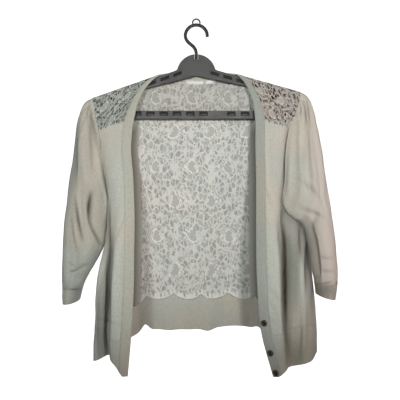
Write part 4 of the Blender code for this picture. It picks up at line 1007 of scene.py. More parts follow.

# %% [markdown]
# The fronts: one plain fine-knit panel each, hung from the lace yoke, with the narrow self band along the
# edge and a deep rib at the hem. The panel is one smooth surface, read every 2.5 mm, with its creases pressed
# in before the band, panel and rib are parted, so that a crease runs on through the seams.

# %% Front creases
# A row for each crease: three pixels of its bent path, width and depth in mm, face and tone, its painted
# shade
FRONT_CREASES = {
    -1: (
        Crease("armhole fall", (103, 160), (105, 205), (108, 250), 5.0, -2.5, 1, 0.25),
        Crease("side valley", (108.2, 205), (108.5, 280), (108, 364), 3.6, -8.0, 1, 0.6),
        Crease("valley shade", (109, 200), (107, 290), (105, 364), 8.0, 0.0, 1, 0.28),
        Crease("faint diagonal", (127, 200), (120, 218), (112, 240), 5.0, 2.0, 1, -0.1),
        Crease("diagonal shade", (129, 204), (122, 222), (114, 244), 3.0, -1.6, 1, 0.14),
        Crease("cool stripe", (121, 132), (124, 220), (122, 325), 6.0, -1.8, 1, 0.08),
        Crease("low fall", (115, 290), (117, 330), (118, 374), 5.0, 2.2, 1),
        Crease("low pull", (112, 262), (117, 275), (124, 284), 4.0, -1.6, 1),
        Crease("side fold", (100, 285), (98, 320), (99, 352), 4.0, -2.4, 1, 0.2),
        Crease("side shade", (97, 270), (96, 310), (96, 352), 8.0, 0.0, 1, 0.25),
        Crease("band shade", (129, 230), (129, 300), (127, 368), 5.0, -1.0, 1, 0.2),
        Crease("rib seam", (97, 318), (112, 322), (132, 328), 2.6, -1.2, 1, 0.22),
    ),
    1: (
        Crease("waist pull", (262, 176), (265, 192), (273, 208), 3.2, -3.4, 1, 0.25),
        Crease("waist ridge", (267, 178), (271, 192), (279, 204), 4.0, 2.0, 1, -0.1),
        Crease("long shade", (262, 200), (260, 240), (262, 290), 7.0, -1.5, 1, 0.18),
        Crease("hip pull one", (259, 256), (262, 272), (271, 283), 2.6, -2.8, 1, 0.18),
        Crease("hip pull two", (259, 272), (264, 288), (273, 297), 2.6, -2.8, 1, 0.18),
        Crease("crumple one", (267, 284), (274, 297), (283, 301), 3.0, -3.4, 1, 0.2),
        Crease("crumple two", (269, 300), (276, 312), (282, 332), 3.2, -3.0, 1, 0.2),
        Crease("crumple three", (264, 312), (270, 322), (279, 327), 3.0, -2.2, 1, 0.15),
        Crease("valley", (283.5, 196), (283.5, 262), (285, 340), 4.4, -8.0, 1, 0.85),
        Crease("valley shade", (288, 200), (288, 262), (286, 340), 10.0, 0.0, 1, 0.55),
        Crease("side shade", (300, 204), (298, 240), (294, 318), 14.0, 0.0, 1, 0.48),
        Crease("side crease two", (300, 222), (300, 240), (301, 258), 3.4, -3.0, 1, 0.4),
        Crease("side ridge", (301, 256), (301, 276), (304, 300), 5.0, 4.0, 1, -0.3),
        Crease("side crease", (308, 222), (307, 262), (306, 296), 4.0, -4.0, 1, 0.8),
        Crease("low ridge", (293, 305), (292, 335), (293, 362), 6.0, 2.6, 1, 0.0),
        Crease("low crease", (300, 306), (302, 330), (299, 358), 4.0, -2.4, 1, 0.2),
        Crease("low crease two", (308, 300), (309, 325), (306, 352), 4.0, -2.4, 1, 0.2),
        Crease("low shade", (285, 330), (286, 350), (284, 372), 9.0, 0.0, 1, 0.25),
        Crease("hem shade", (262, 356), (288, 360), (320, 346), 34.0, 0.0, 1, 0.3),
        Crease("breast fall", (271, 130), (270, 165), (274, 210), 6.0, -1.6, 1, 0.05),
        Crease("armhole shade", (290, 118), (285.5, 150), (284, 210), 4.6, -2.0, 1, 0.75),
    ),
}
print("creases of the fronts", [len(FRONT_CREASES[side]) for side in WORDS])

# %% [markdown]
# The rib at hem and cuffs is real form: one ridge for each wale. Over the creases lie slow uneven waves, at
# two scales, because hung knit is nowhere quite flat.

# %% Relief of the fronts
FRONT_CRUMPLES = (Crumple(70, 0.6, 11), Crumple(26, 0.22, 21))
ROW_STEP = 2.5
RIB_ROW_STEP = 3.0
RIB_PITCH = 3.2
RIB_HEIGHT = 0.75
RIB_STEPS = 4
FRONT_SIGN = {-1: 1, 1: -1}
CREASED_FROM_ROW = 3.5
CREASED_FROM_COLUMN = 0.8


def row_numbers(side, first, last, step):
    """Row numbers a step apart down the front's band seam, between two rows."""
    dense = np.linspace(first, last, 400)
    lengths = chord_knots(front_surface(side, dense, [1])[:, 0])
    return np.interp(np.linspace(0, lengths[-1], max(2, round(lengths[-1] / step) + 1)), lengths, dense)


def ribbed(cloth, height):
    """Height of rib wales: rounded ridges |sin| with narrow ditches between, each on RIB_STEPS columns."""
    turn = np.arange(cloth.across.shape[1]) / RIB_STEPS
    return np.broadcast_to(height * (np.abs(np.sin(math.pi * turn)) - 0.4), cloth.across.shape)


def front_cloth(side, rows, columns):
    """A front with its creases and slow waves pressed in, and their tone: none in the yoke and the band."""
    sign = FRONT_SIGN[side]
    cloth = laid(front_surface(side, rows, columns), sign)
    relief, tone = pressed(cloth, FRONT_CREASES[side])
    relief += crumpled(cloth, FRONT_CRUMPLES, side)
    fade = np.clip(rows - CREASED_FROM_ROW, 0, 1)[:, None]
    fade = fade * np.clip((columns - CREASED_FROM_COLUMN) / 0.5, 0, 1)[None, :]
    return moved(cloth, relief * fade, sign), tone * fade


# %% Fronts
PANEL_STEPS = 78
BAND_STEPS = 8
BAND_RAISED = 0.2
BAND_SEAM = dict(place=0.88, spread=0.06, depth=0.5)

for side, word in WORDS.items():
    sign = FRONT_SIGN[side]
    rows = row_numbers(side, 0, HEM_ROW, ROW_STEP)
    rows = np.unique(np.concatenate([rows, [YOKE_HEM_ROW, RIB_ROW]]))
    columns = np.concatenate([np.linspace(0, 1, BAND_STEPS + 1), np.linspace(1, 2, PANEL_STEPS + 1)[1:]])
    whole, tone = front_cloth(side, rows, columns)
    yoke_hem, rib_top = (int(np.argmin(np.abs(rows - r))) for r in (YOKE_HEM_ROW, RIB_ROW))

    panel = cut(whole, slice(yoke_hem, rib_top + 1), slice(BAND_STEPS, None))
    piece = shell("front_" + word + "_panel", panel, KNIT_WALL, KNIT, sign=sign,
                  fields={"fold": tone[yoke_hem:rib_top + 1, BAND_STEPS:]})
    sewn(piece, "front_" + word, panel)

    band = cut(whole, columns=slice(0, BAND_STEPS + 1))
    share = columns[:BAND_STEPS + 1]
    domed = np.clip(1 - np.abs(share - 0.5) * 2, 0, 1) ** 0.5
    seam = BAND_SEAM["depth"] * np.exp(-((share - BAND_SEAM["place"]) / BAND_SEAM["spread"]) ** 2)
    piece = shell("band_" + word, band, KNIT_WALL, BAND if side < 0 else BAND_RIGHT_SHADED, sign=sign,
                  above=(BAND_LIFT * domed + BAND_RAISED - seam)[None])
    sewn(piece, "front_band_" + word, band)

    middle = (RIB_ROW + HEM_ROW) / 2
    rib_width = chord_knots(front_surface(side, [middle], np.linspace(1, 2, 40))[0])[-1]
    wales = round(rib_width / RIB_PITCH)
    rib, tone = front_cloth(side, row_numbers(side, RIB_ROW, HEM_ROW, RIB_ROW_STEP),
                            np.linspace(1, 2, wales * RIB_STEPS + 1))
    piece = shell("hem_rib_" + word, rib, KNIT_WALL, RIB, sign=sign, above=ribbed(rib, RIB_HEIGHT),
                  below=ribbed(rib, RIB_HEIGHT / 2), fields={"fold": tone})
    sewn(piece, "front_hem_rib_" + word, rib)

# %% [markdown]
# Sleeves and cuffs: a tube from the armhole to below the elbow, its cap gathered into a few small pleats at
# the shoulder, its cuff a fine rib. The tube hangs flat and bends forward a little at the elbow, so the folds
# break across it there and again above the cuff.

# %% Sleeve creases
# Rows as for the fronts; the tone is painted shade, and a row with no depth is only painted shade.
SLEEVE_CREASES = {
    -1: (
        Crease("elbow hollow", (94, 190), (86, 206), (91, 226), 4.4, -7.0, 1, 0.7),
        Crease("elbow shade", (90, 186), (89, 204), (92, 222), 9.0, -3.0, 1, 0.3),
        Crease("elbow run", (88, 218), (95, 236), (104, 248), 4.0, -4.5, 1, 0.55),
        Crease("elbow ridge", (82, 186), (83, 214), (92, 236), 5.0, 3.0, 1, -0.1),
        Crease("dark diagonal", (72, 196), (75, 220), (85, 244), 4.0, -5.0, 1, 0.7),
        Crease("outer pull", (68, 215), (71, 238), (80, 256), 3.6, -3.0, 1, 0.3),
        Crease("cuff break one", (66, 272), (76, 274), (91, 263), 2.6, -3.6, 1, 0.4),
        Crease("cuff break two", (65, 262), (72, 266), (80, 268), 2.6, -2.4, 1, 0.2),
        Crease("cuff seam", (62, 287), (72, 291), (82, 289), 2.4, -1.8, 1, 0.25),
        Crease("cap fall", (92, 106), (91, 135), (93, 172), 5.0, -3.4, 1, 0.35),
        Crease("cap ridge", (86, 112), (84, 145), (84, 182), 5.0, 2.4, 1, -0.1),
        Crease("outer fall", (79, 116), (74, 150), (72, 195), 5.0, -2.2, 1, 0.28),
        Crease("gather", (91, 100), (88, 108), (86, 122), 3.0, -2.5, 1, 0.3),
        Crease("inner shade", (97, 112), (102, 160), (104, 205), 6.0, 0.0, 1, 0.34),
        Crease("edge shade", (80, 112), (70, 165), (66, 225), 5.0, 0.0, 1, 0.3),
        Crease("cap shade", (90, 106), (95, 122), (97, 150), 4.0, -2.0, 1, 0.4),
        Crease("forearm shade", (100, 240), (94, 262), (86, 284), 12.0, 0.0, 1, 0.25),
        Crease("forearm shade two", (66, 282), (74, 290), (84, 290), 14.0, 0.0, 1, 0.14),
        Crease("hidden fall", (84, 150), (80, 200), (84, 245), 7.0, -4.0, -1),
        Crease("hidden break", (66, 262), (76, 256), (90, 258), 5.0, -3.0, -1),
    ),
    1: (
        Crease("pleat one", (299, 103), (301, 109), (300, 122), 1.9, -2.8, 1, 0.4),
        Crease("pleat two", (303, 99), (305, 109), (305, 126), 1.9, -3.2, 1, 0.45),
        Crease("pleat three", (307, 98), (309, 110), (310, 128), 1.9, -2.8, 1, 0.35),
        Crease("long fall", (305, 108), (308, 150), (312, 200), 5.0, -5.0, 1, 0.2),
        Crease("long ridge", (300, 112), (299, 140), (301, 190), 5.0, 3.0, 1, -0.3),
        Crease("inner shade", (288, 126), (286, 165), (287, 205), 5.0, 0.0, 1, 0.5),
        Crease("diagonal one", (292, 176), (308, 185), (324, 201), 3.6, -3.4, 1, 0.25),
        Crease("diagonal ridge", (296, 171), (310, 179), (325, 193), 4.0, 1.8, 1, -0.1),
        Crease("diagonal two", (297, 205), (310, 214), (327, 218), 4.0, -3.0, 1, 0.2),
        Crease("inner lip", (308, 220), (319, 240), (319, 282), 12.0, -9.0, 1, 0.5, 2.6),
        Crease("cuff break one", (318, 256), (328, 261), (336, 256), 2.8, -2.6, 1, 0.2),
        Crease("cuff break two", (319, 270), (327, 274), (337, 270), 2.6, -2.4, 1, 0.2),
        Crease("cuff seam", (314, 283), (325, 285), (336, 281), 2.4, -1.8, 1, 0.3),
        Crease("cuff shade", (312, 290), (325, 291), (337, 288), 16.0, 0.0, 1, 0.3),
        Crease("hidden fall", (312, 150), (316, 200), (318, 250), 7.0, -4.0, -1),
        Crease("hidden break", (315, 262), (324, 256), (334, 260), 5.0, -3.0, -1),
    ),
}

# %% [markdown]
# Places round a sleeve are shares of a turn from the shoulder, forwards. The head of the sleeve rolls a
# little over the front of its seam. At the right armpit TUCK lowers its edge, so that no thin slit of
# background shows between the sleeve and the side.

# %% Sleeves and cuffs
SLEEVE_CRUMPLES = (Crumple(60, 0.6, 31), Crumple(24, 0.25, 41))
PLEATS = dict(place=0.12, spread=0.09, count=24, height=1.8, length=70.0, start=4.0)
ROLL = dict(place=0.36, spread=0.12, from_seam=8.0, width=6.0, height=3.0)
TUCK = dict(px=289.0, py=212.0, width=4.5, depth=4.5)
SLEEVE_HALF_POINTS = 76
CUFF_HALF_POINTS = 98
CAP_STEPS = 24
SLEEVE_STEPS = 130
CUFF_STEPS = 14


def pleated(around, from_seam):
    """Height of the cap's small pleats: fine waves round the seam, fading down the sleeve."""
    near_top = np.exp(-((around - PLEATS["place"]) / PLEATS["spread"]) ** 2)
    fade = np.clip(1 - from_seam / PLEATS["length"], 0, 1) ** 1.2 * np.clip(from_seam / PLEATS["start"], 0, 1)
    return PLEATS["height"] * np.sin(around * math.tau * PLEATS["count"]) * near_top * fade


def sleeve_relief(side, cloth, steps, turn, cuff_ring):
    """Relief of a sleeve: pleats, folds, creases, slow waves and the roll of its head; and their tone."""
    around, down = turn / math.tau, steps / (cuff_ring + 1)
    from_seam = np.linalg.norm(cloth.points - cloth.points[:1], axis=2)
    relief = pleated(around[None, :], from_seam) + crumpled(cloth, SLEEVE_CRUMPLES, side)
    for fold in (LEFT_SLEEVE_FOLDS if side < 0 else RIGHT_SLEEVE_FOLDS):
        relief += fold.depth * near_line(around[None, :], down[:, None], fold)
    creases, tone = pressed(cloth, SLEEVE_CREASES[side])
    relief += creases
    if steps[0] == 0:
        low_front = np.exp(-((around - ROLL["place"]) / ROLL["spread"]) ** 2)[None, :]
        relief += ROLL["height"] * low_front * np.exp(-((from_seam - ROLL["from_seam"]) / ROLL["width"]) ** 2)
    start = np.clip(steps * 3, 0, 1)[:, None]
    relief *= start * np.clip(1 - (steps - cuff_ring) * 1.6, 0, 1)[:, None]
    if side > 0:
        px, py = seen(cloth.points)
        off = (px - TUCK["px"]) ** 2 + (py - TUCK["py"]) ** 2
        relief += TUCK["depth"] * np.exp(-off / TUCK["width"] ** 2)
    return relief, tone * start


for side, word in WORDS.items():
    cuff_ring = len(LEFT_SLEEVE if side < 0 else RIGHT_SLEEVE) - 1
    steps = np.concatenate([np.linspace(0, 1, CAP_STEPS)[:-1], np.linspace(1, cuff_ring, SLEEVE_STEPS)])
    grid, turn = sleeve_surface(side, steps, SLEEVE_HALF_POINTS)
    tube = laid(grid, side, True)
    relief, tone = sleeve_relief(side, tube, steps, turn, cuff_ring)
    tube = moved(tube, relief, side, True)
    piece = shell("sleeve_" + word + "_tube", tube, KNIT_WALL, KNIT if side < 0 else KNIT_WARM_LIT, closed=True,
                  sign=side, fields={"fold": tone})
    sewn(piece, "sleeve_" + word, tube, closed=True)

    steps = np.linspace(cuff_ring, cuff_ring + 1, CUFF_STEPS)
    grid, turn = sleeve_surface(side, steps, CUFF_HALF_POINTS)
    cuff = laid(grid, side, True)
    relief, tone = sleeve_relief(side, cuff, steps, turn, cuff_ring)
    cuff = moved(cuff, relief)
    piece = shell("cuff_" + word + "_rib", cuff, KNIT_WALL, RIB if side < 0 else RIB_WARM_LIT, closed=True,
                  sign=side, above=ribbed(cuff, RIB_HEIGHT), below=ribbed(cuff, 0.4 * RIB_HEIGHT),
                  fields={"fold": tone})
    sewn(piece, "cuff_" + word, cuff, closed=True)

# %% [markdown]
# The lace is drawn by formula on the cloth's own plane: leaning drops filled with net, each with a thick
# outline and a ladder beside it, flowers midway between them, and leaves. Three fields of distance say where
# the lace is filled like cloth, where a thick cord lies and where the web is left out for net. The cords are
# also raised from both faces.

# %% Lace motifs
def line(distance, half):
    """Above nothing within half a width of a line."""
    return half - np.abs(distance)


def leaf(u, v, cu, cv, turn, length, width):
    """Above nothing inside a pointed leaf: width (1 - (x / length)^2) - |y|."""
    x = (u - cu) * math.cos(turn) + (v - cv) * math.sin(turn)
    y = -(u - cu) * math.sin(turn) + (v - cv) * math.cos(turn)
    return width * np.clip(1 - (x / length) ** 2, -1.0, 1) - np.abs(y), y


def drop_motif(u, v, size, face):
    """A leaning drop with a cord round it, and on one side three pointed cords over slots of net.

    The drop is a circle of the size, taller below and narrowing upwards. The cords beside it follow
    (|x|^p + |y|^p)^(1/p) = constant, with p near one for their pointed turn.
    """
    x, y = u * face, v
    lean = x + 0.12 * y
    drop = size - np.hypot(lean * (1 - 0.30 * np.clip(y / size, -1.4, 1.4)), y / 1.4)
    q = (np.abs(x) ** 1.3 + np.abs(y / 1.15) ** 1.3) ** (1 / 1.3) - size
    side = np.minimum(x + 0.2 * size, 2.4 * size - np.abs(y)) * 2
    cord = line(drop + 0.06 * size, 0.12 * size)
    for k in (0.68, 1.18, 1.66):
        cord = np.maximum(cord, np.minimum(line(q - k * size, 0.11 * size), side))
    slots = np.minimum(np.minimum(line(q - 1.16 * size, 0.46 * size), side), -cord)
    rungs = np.sin((y - x) * math.tau / (0.62 * size)) * 2 + 1.4
    return drop, cord, np.minimum(slots, rungs)


def flower_motif(u, v, size, petals, phase):
    """A flower of rounded petals with corded edges, and a dot of net between each pair of petals."""
    r, angle = np.hypot(u, v), np.arctan2(u, v) + phase
    wave = np.cos(angle * petals)
    petal = size * (0.66 + 0.34 * wave) - r
    dots = 0.21 * size - np.hypot(r - size * 0.62, (1 + wave) * size * 0.5)
    return petal, line(petal - 0.4, 0.6), np.maximum(dots, size * 0.14 - r)


print("a line 0.6 mm thick, at its middle and 1 mm off:", line(0.0, 0.3), line(1.0, 0.3))

# %% [markdown]
# The motifs are set in lines, each line half a pitch on and turned round. The lines wander slowly, as they do
# in lace that was stretched a little, so that they don't look ruled.

# %% Lace repeat
# Leaves and slits of net round a drop: place in pitches from its middle, across and up, and turn in radians
Sprig = namedtuple("Sprig", "across up turn")
LEAVES = (
    Sprig(-0.36, -0.10, 0.85), Sprig(-0.24, 0.20, 0.6), Sprig(0.30, 0.30, -0.75), Sprig(0.12, 0.40, -0.4),
    Sprig(-0.05, -0.36, 1.2), Sprig(0.37, -0.26, 0.9), Sprig(-0.42, 0.40, -0.9), Sprig(0.22, -0.42, -0.2),
)
SLITS = (
    Sprig(-0.16, 0.34, 0.9), Sprig(0.06, 0.27, 0.95), Sprig(-0.30, 0.04, 0.6), Sprig(0.42, 0.10, -0.7),
    Sprig(-0.10, -0.22, -0.8), Sprig(0.25, 0.44, 0.3), Sprig(-0.38, 0.27, -0.6), Sprig(0.36, -0.08, 1.0),
    Sprig(-0.27, -0.32, -0.9), Sprig(0.02, 0.46, -0.8),
)


def lace_fields(u, v, pitch_u, pitch_v, size, shift=0.0, solid=False):
    """Cloth, cord and hole fields of the repeat, in mm, each above nothing inside.

    Lines of drops, each line half a pitch on and turned round, with a flower between each pair of drops
    and leaves and slits of net strewn round them. Solid drops are cloth, the others are net.
    """
    u = u + 1.3 * np.sin(v / 13.0 + 0.7) + 0.8 * np.sin(v / 5.1)
    v = v + 1.2 * np.sin(u / 11.0) + 0.7 * np.sin(u / 4.7 + 1.0)
    number = np.round(v / pitch_v)
    odd = np.mod(number, 2) > 0
    face = np.where(odd, -1.0, 1.0)
    dv = v - number * pitch_v
    offset = np.where(odd, pitch_u / 2, 0.0) + shift
    du = np.mod(u - offset + pitch_u / 2, pitch_u) - pitch_u / 2
    drop, cord, slots = drop_motif(du, dv, size, face)
    posy, posy_rim, _ = flower_motif(du * face + 1.05 * size, dv + 0.2 * size, size * 0.95, 5, 0.9)
    drop, cord = np.minimum(drop, -posy - 0.6), np.where(posy > -0.6, -3.0, cord)
    hole = slots if solid else np.maximum(drop, slots)
    fu = np.mod(u - offset, pitch_u) - pitch_u / 2
    petal, rim, dots = flower_motif(fu * face + size * 0.3, dv - 2, size * 1.4, 5, 0.4)
    free = np.minimum(-np.maximum(drop, slots), -cord - 1.0)
    cloth = np.maximum(np.minimum(petal, free), posy)
    if solid:
        cloth = np.maximum(cloth, drop)
    cord = np.maximum(cord, np.minimum(rim, free))
    cord = np.maximum(cord, posy_rim)
    hole = np.where(petal > 0, np.minimum(dots, free), hole)
    for cu, cv, turn in LEAVES:
        room, vein = leaf(du * face, dv, cu * pitch_u, cv * pitch_v, turn, 1.15 * size, 0.36 * size)
        room = np.minimum(room, free)
        cord = np.maximum(cord, np.minimum(line(room - 0.3, 0.55), room + 2))
        cloth = np.maximum(cloth, np.minimum(room, np.abs(vein) - 0.3))
    for cu, cv, turn in SLITS:
        room, _ = leaf(du * face, dv, cu * pitch_u, cv * pitch_v, turn, 0.8 * size, 0.24 * size)
        hole = np.maximum(hole, np.minimum(room, -np.maximum(cord, petal)))
    return cloth, cord, hole


def trimmed(grid, fields, last):
    """The grid and its fields with each column ended at a share of its length."""
    rows, columns = grid.shape[:2]
    place = np.clip(np.arange(rows)[:, None] * last[None, :], 0, rows - 1.0001)
    low = place.astype(int)
    part = place - low
    across = np.arange(columns)[None, :]
    points = grid[low, across] * (1 - part[..., None]) + grid[low + 1, across] * part[..., None]
    return points, [f[low, across] * (1 - part) + f[low + 1, across] * part for f in fields], place


# %% [markdown]
# Each yoke is a small piece of the same lace at a finer scale, from the shoulder down to the knit panel. Its
# lower edge is a little ragged, as lace cut along its motifs is, and is lifted to lie on the panel.

# %% Yokes
YOKE_STEP = 1.2
YOKE_COLUMNS = 112
YOKE_WALL = 0.6 * LACE_WALL
YOKE_REPEAT = dict(pitch_u=46.0, pitch_v=44.0, size=5.2, shift=6.0, solid=True)
YOKE_START = (8, 6)
YOKE_END_ROW = 3.98
RAGGED = ((0.08, 61, 0), (0.07, 27, 1), (0.05, 133, 0))
YOKE_LAP_ROW = 3.5
YOKE_LAP = 0.5
for side, word in WORDS.items():
    sign = FRONT_SIGN[side]
    rows = row_numbers(side, 0, 4.2, YOKE_STEP)
    columns = np.linspace(1, 2, YOKE_COLUMNS)
    grid = front_surface(side, rows, columns)
    yoke = laid(grid, sign)
    fields = lace_fields((yoke.across + YOKE_START[0]) * sign, yoke.down + YOKE_START[1], **YOKE_REPEAT)
    ragged = YOKE_END_ROW + sum(depth * np.sin(columns * waves + phase) for depth, waves, phase in RAGGED)
    points, (filled, cord, hole), place = trimmed(grid, fields, np.minimum(ragged / rows[-1], 1.0))
    row_at = place / (len(rows) - 1) * rows[-1]
    lift = YOKE_LAP * np.clip((row_at - YOKE_LAP_ROW) / 0.3, 0, 1)
    raised = np.clip(cord + 0.5, 0, 1) + 0.4 * np.clip(filled + 0.5, 0, 1)
    yoke = laid(points, sign)
    piece = shell("yoke_" + word + "_lace", yoke, YOKE_WALL, YOKE_LEFT if side < 0 else YOKE_RIGHT,
                  sign=sign, above=0.1 + 0.5 * raised + lift, below=0.2 * raised - lift,
                  fields={"filled": filled, "cord": cord, "hole": hole})
    sewn(piece, "yoke_" + word, yoke)

# %% [markdown]
# The back is one sheet of lace, from the shoulders to a scalloped edge over the hem rib. Its outer skin is
# turned away from the camera, so the photograph shows the inner one. There the lace gives way to a smooth
# strip of painted shade beside each front band, darkest next to the band, and a faint painted shade lies
# along the neck.

# %% Back
BACK_ROWS = 222
BACK_COLUMNS = 222
BACK_WALL = 0.5 * LACE_WALL
BACK_REPEAT = dict(pitch_u=76.0, pitch_v=72.4, size=8.4)
DROP_AT = (174.4, 132.0)
STRIP = dict(width=15.0, soft=3.0, edge_tone=0.86, fall=0.034, least=0.3, most=0.88, under=16.0, grows=8.0)
STRIP_TOP = (112, 132)
NECK_SHADE = dict(tone=0.22, py=116, soft=6)
SCALLOP = dict(pitch=57.0, rise=9.0, point_px=173.8, round=0.55)
EDGE_CORD = (1.4, 1.3)
EDGE_TEETH = dict(place=5.5, half=2.2, pitch=8.2)
EDGE_PLAIN = 8.0
rows = np.linspace(0, RIB_ROW, BACK_ROWS)
columns = np.linspace(0, BACK_LAST, BACK_COLUMNS)
grid = back_surface(rows, columns)
px, py = seen(grid)
u, v = (px - DROP_AT[0]) * MM_PER_PIXEL, (py - DROP_AT[1]) * MM_PER_PIXEL
fields = lace_fields(u, v, **BACK_REPEAT)
# Painted shade on the lace: a faint band along the neck and a strip beside each front band.
strip = NECK_SHADE["tone"] * np.clip((NECK_SHADE["py"] - py) / NECK_SHADE["soft"], 0, 1)
for side in WORDS:
    edge_px, edge_py = seen(front_surface(side, np.linspace(0, HEM_ROW, 200), [0])[:, 0])
    inward = side * (np.interp(py, edge_py, edge_px) - px) * MM_PER_PIXEL
    tone = np.clip(STRIP["edge_tone"] - STRIP["fall"] * inward, STRIP["least"], STRIP["most"])
    tone *= np.clip((STRIP["width"] + 2 - inward) / STRIP["soft"], 0, 1)
    tone *= np.clip((inward + STRIP["under"]) / STRIP["grows"], 0, 1)
    tone *= np.clip((py - STRIP_TOP[0]) / (STRIP_TOP[1] - STRIP_TOP[0]), 0, 1)
    strip = np.maximum(strip, tone)

# %% [markdown]
# Each column of the sheet ends where the scallops say. A cord runs along that edge with a row of small teeth
# above it, and no net is left open between them.

# %% Scalloped edge of the back
low_u = (px[-1] - SCALLOP["point_px"]) * MM_PER_PIXEL
swing = np.abs(np.sin(math.pi * low_u / SCALLOP["pitch"])) ** SCALLOP["round"]
lengths = chord_knots(grid[:, BACK_COLUMNS // 2])
last = 1 - SCALLOP["rise"] * (1 - swing) / lengths[-1]
points, (filled, cord, hole, strip), _ = trimmed(grid, [*fields, strip], last)
from_edge = np.linspace(lengths[-1], 0, BACK_ROWS)[:, None]
teeth = 3 * np.sin(low_u * math.tau / EDGE_TEETH["pitch"])[None]
teeth = np.minimum(line(from_edge - EDGE_TEETH["place"], EDGE_TEETH["half"]), teeth)
cord = np.maximum(cord, np.maximum(line(from_edge - EDGE_CORD[0], EDGE_CORD[1]), teeth))
hole = np.minimum(hole, from_edge - EDGE_PLAIN)
# Inside the painted shade strip the lace turns to plain cloth.
plain = np.clip(strip * 4 - 1, 0, 1) * 6
outer_fields = {"filled": filled, "cord": cord, "hole": hole, "fold": 0 * strip}
inner_fields = {"filled": np.maximum(filled, plain - 3), "cord": cord - plain, "hole": hole - plain,
                "fold": strip}
raised = np.clip(inner_fields["cord"] + 0.5, 0, 1)
back = laid(points, 1)
piece = shell("back_lace_sheet", back, BACK_WALL, BACK_LACE, above=0.2 + 0.3 * raised,
              below=0.2 + 0.5 * raised, fields=outer_fields, inner_fields=inner_fields)
sewn(piece, "back_lace", back)

# %% [markdown]
# The back's hem rib hangs behind the scalloped edge: its first rows lie outside the lace, and below the lace
# it comes in to the same sheet.

# %% Back hem rib
BACK_WALES = 140
LAP_ROWS = (9.80, 9.9)
LAP_RUN = 0.12
RIB_OUT = 0.4
steps = np.concatenate([LAP_ROWS, np.linspace(RIB_ROW, HEM_ROW, 24)])
rib = laid(back_surface(steps, np.linspace(0, BACK_LAST, BACK_WALES * RIB_STEPS + 1)), 1)
drop = np.clip((RIB_ROW + LAP_RUN - steps) / LAP_RUN, 0, 1)[:, None]
rib = moved(rib, np.broadcast_to(LAP_LIFT * drop + RIB_OUT, rib.across.shape))
piece = shell("back_hem_rib_band", rib, KNIT_WALL, RIB, above=ribbed(rib, 0.6), below=ribbed(rib, 0.5) - 0.3)
sewn(piece, "back_hem_rib", rib)

# %% [markdown]
# The neck band joins the two front bands across the back neck. It is laid between two curves: its free edge
# and the seam where it meets the lace.

# %% Back neck band
NECK_STEPS = 90
ends = {side: front_surface(side, [0], [0, 1])[0] for side in (-1, 1)}
edge, seam = (neck_line(ends[-1][k], bends, ends[1][k], np.linspace(0, 1, NECK_STEPS))
              for k, bends in enumerate((NECK_EDGE, NECK_SEAM)))
neck = laid(np.array([edge + (seam - edge) * t for t in np.linspace(0, 1, BAND_STEPS + 1)]), 1)
piece = shell("neck_band_rib", neck, KNIT_WALL, BAND, above=BAND_LIFT)
sewn(piece, "neck_band_back", neck)

# %% [markdown]
# Two blank labels hang inside the back neck, sewn along the neck seam: a wide one and a small size tab. Each
# is a satin tape with a turned and stitched border.

# %% Labels
LABEL_TURN = 3.0
LABEL_WALL = 0.5
LABEL_BEHIND = LACE_WALL + LABEL_CLEAR + 0.6
STITCH_LINE = (1.6, 0.5)
for name, span in LABELS.items():
    samples = np.linspace(PANEL_COLUMNS, PANEL_COLUMNS + NECK_COLUMNS, 241)
    row = back_surface([0, 1.0], samples)[1, :, 0]
    columns = np.interp(np.linspace(*span, 25), row, samples)
    rows = np.concatenate([[0.0], np.linspace(*LABEL_ROWS, 15)])
    label = laid(back_surface(rows, columns)[1:], 1)
    label = moved(label, np.full(label.across.shape, -LABEL_BEHIND))
    far = np.minimum.reduce([label.across - label.across.min(), label.across.max() - label.across,
                             label.down, label.down.max() - label.down])
    stitch = np.exp(-((far - STITCH_LINE[0]) / STITCH_LINE[1]) ** 2)
    piece = shell(name + "_tape", label, LABEL_WALL, LABEL, fields={"edge": stitch}, below=0.15 * (far < 1.2))
    sewn(piece, name, label, turned=LABEL_TURN)

# %% [markdown]
# Buttons: turned discs with a raised bronze rim and a dished middle, on a short shank of thread. Each is half
# its section turned round its middle, laid square to the band at its row.

# %% Buttons
Turning = namedtuple("Turning", "radius height")

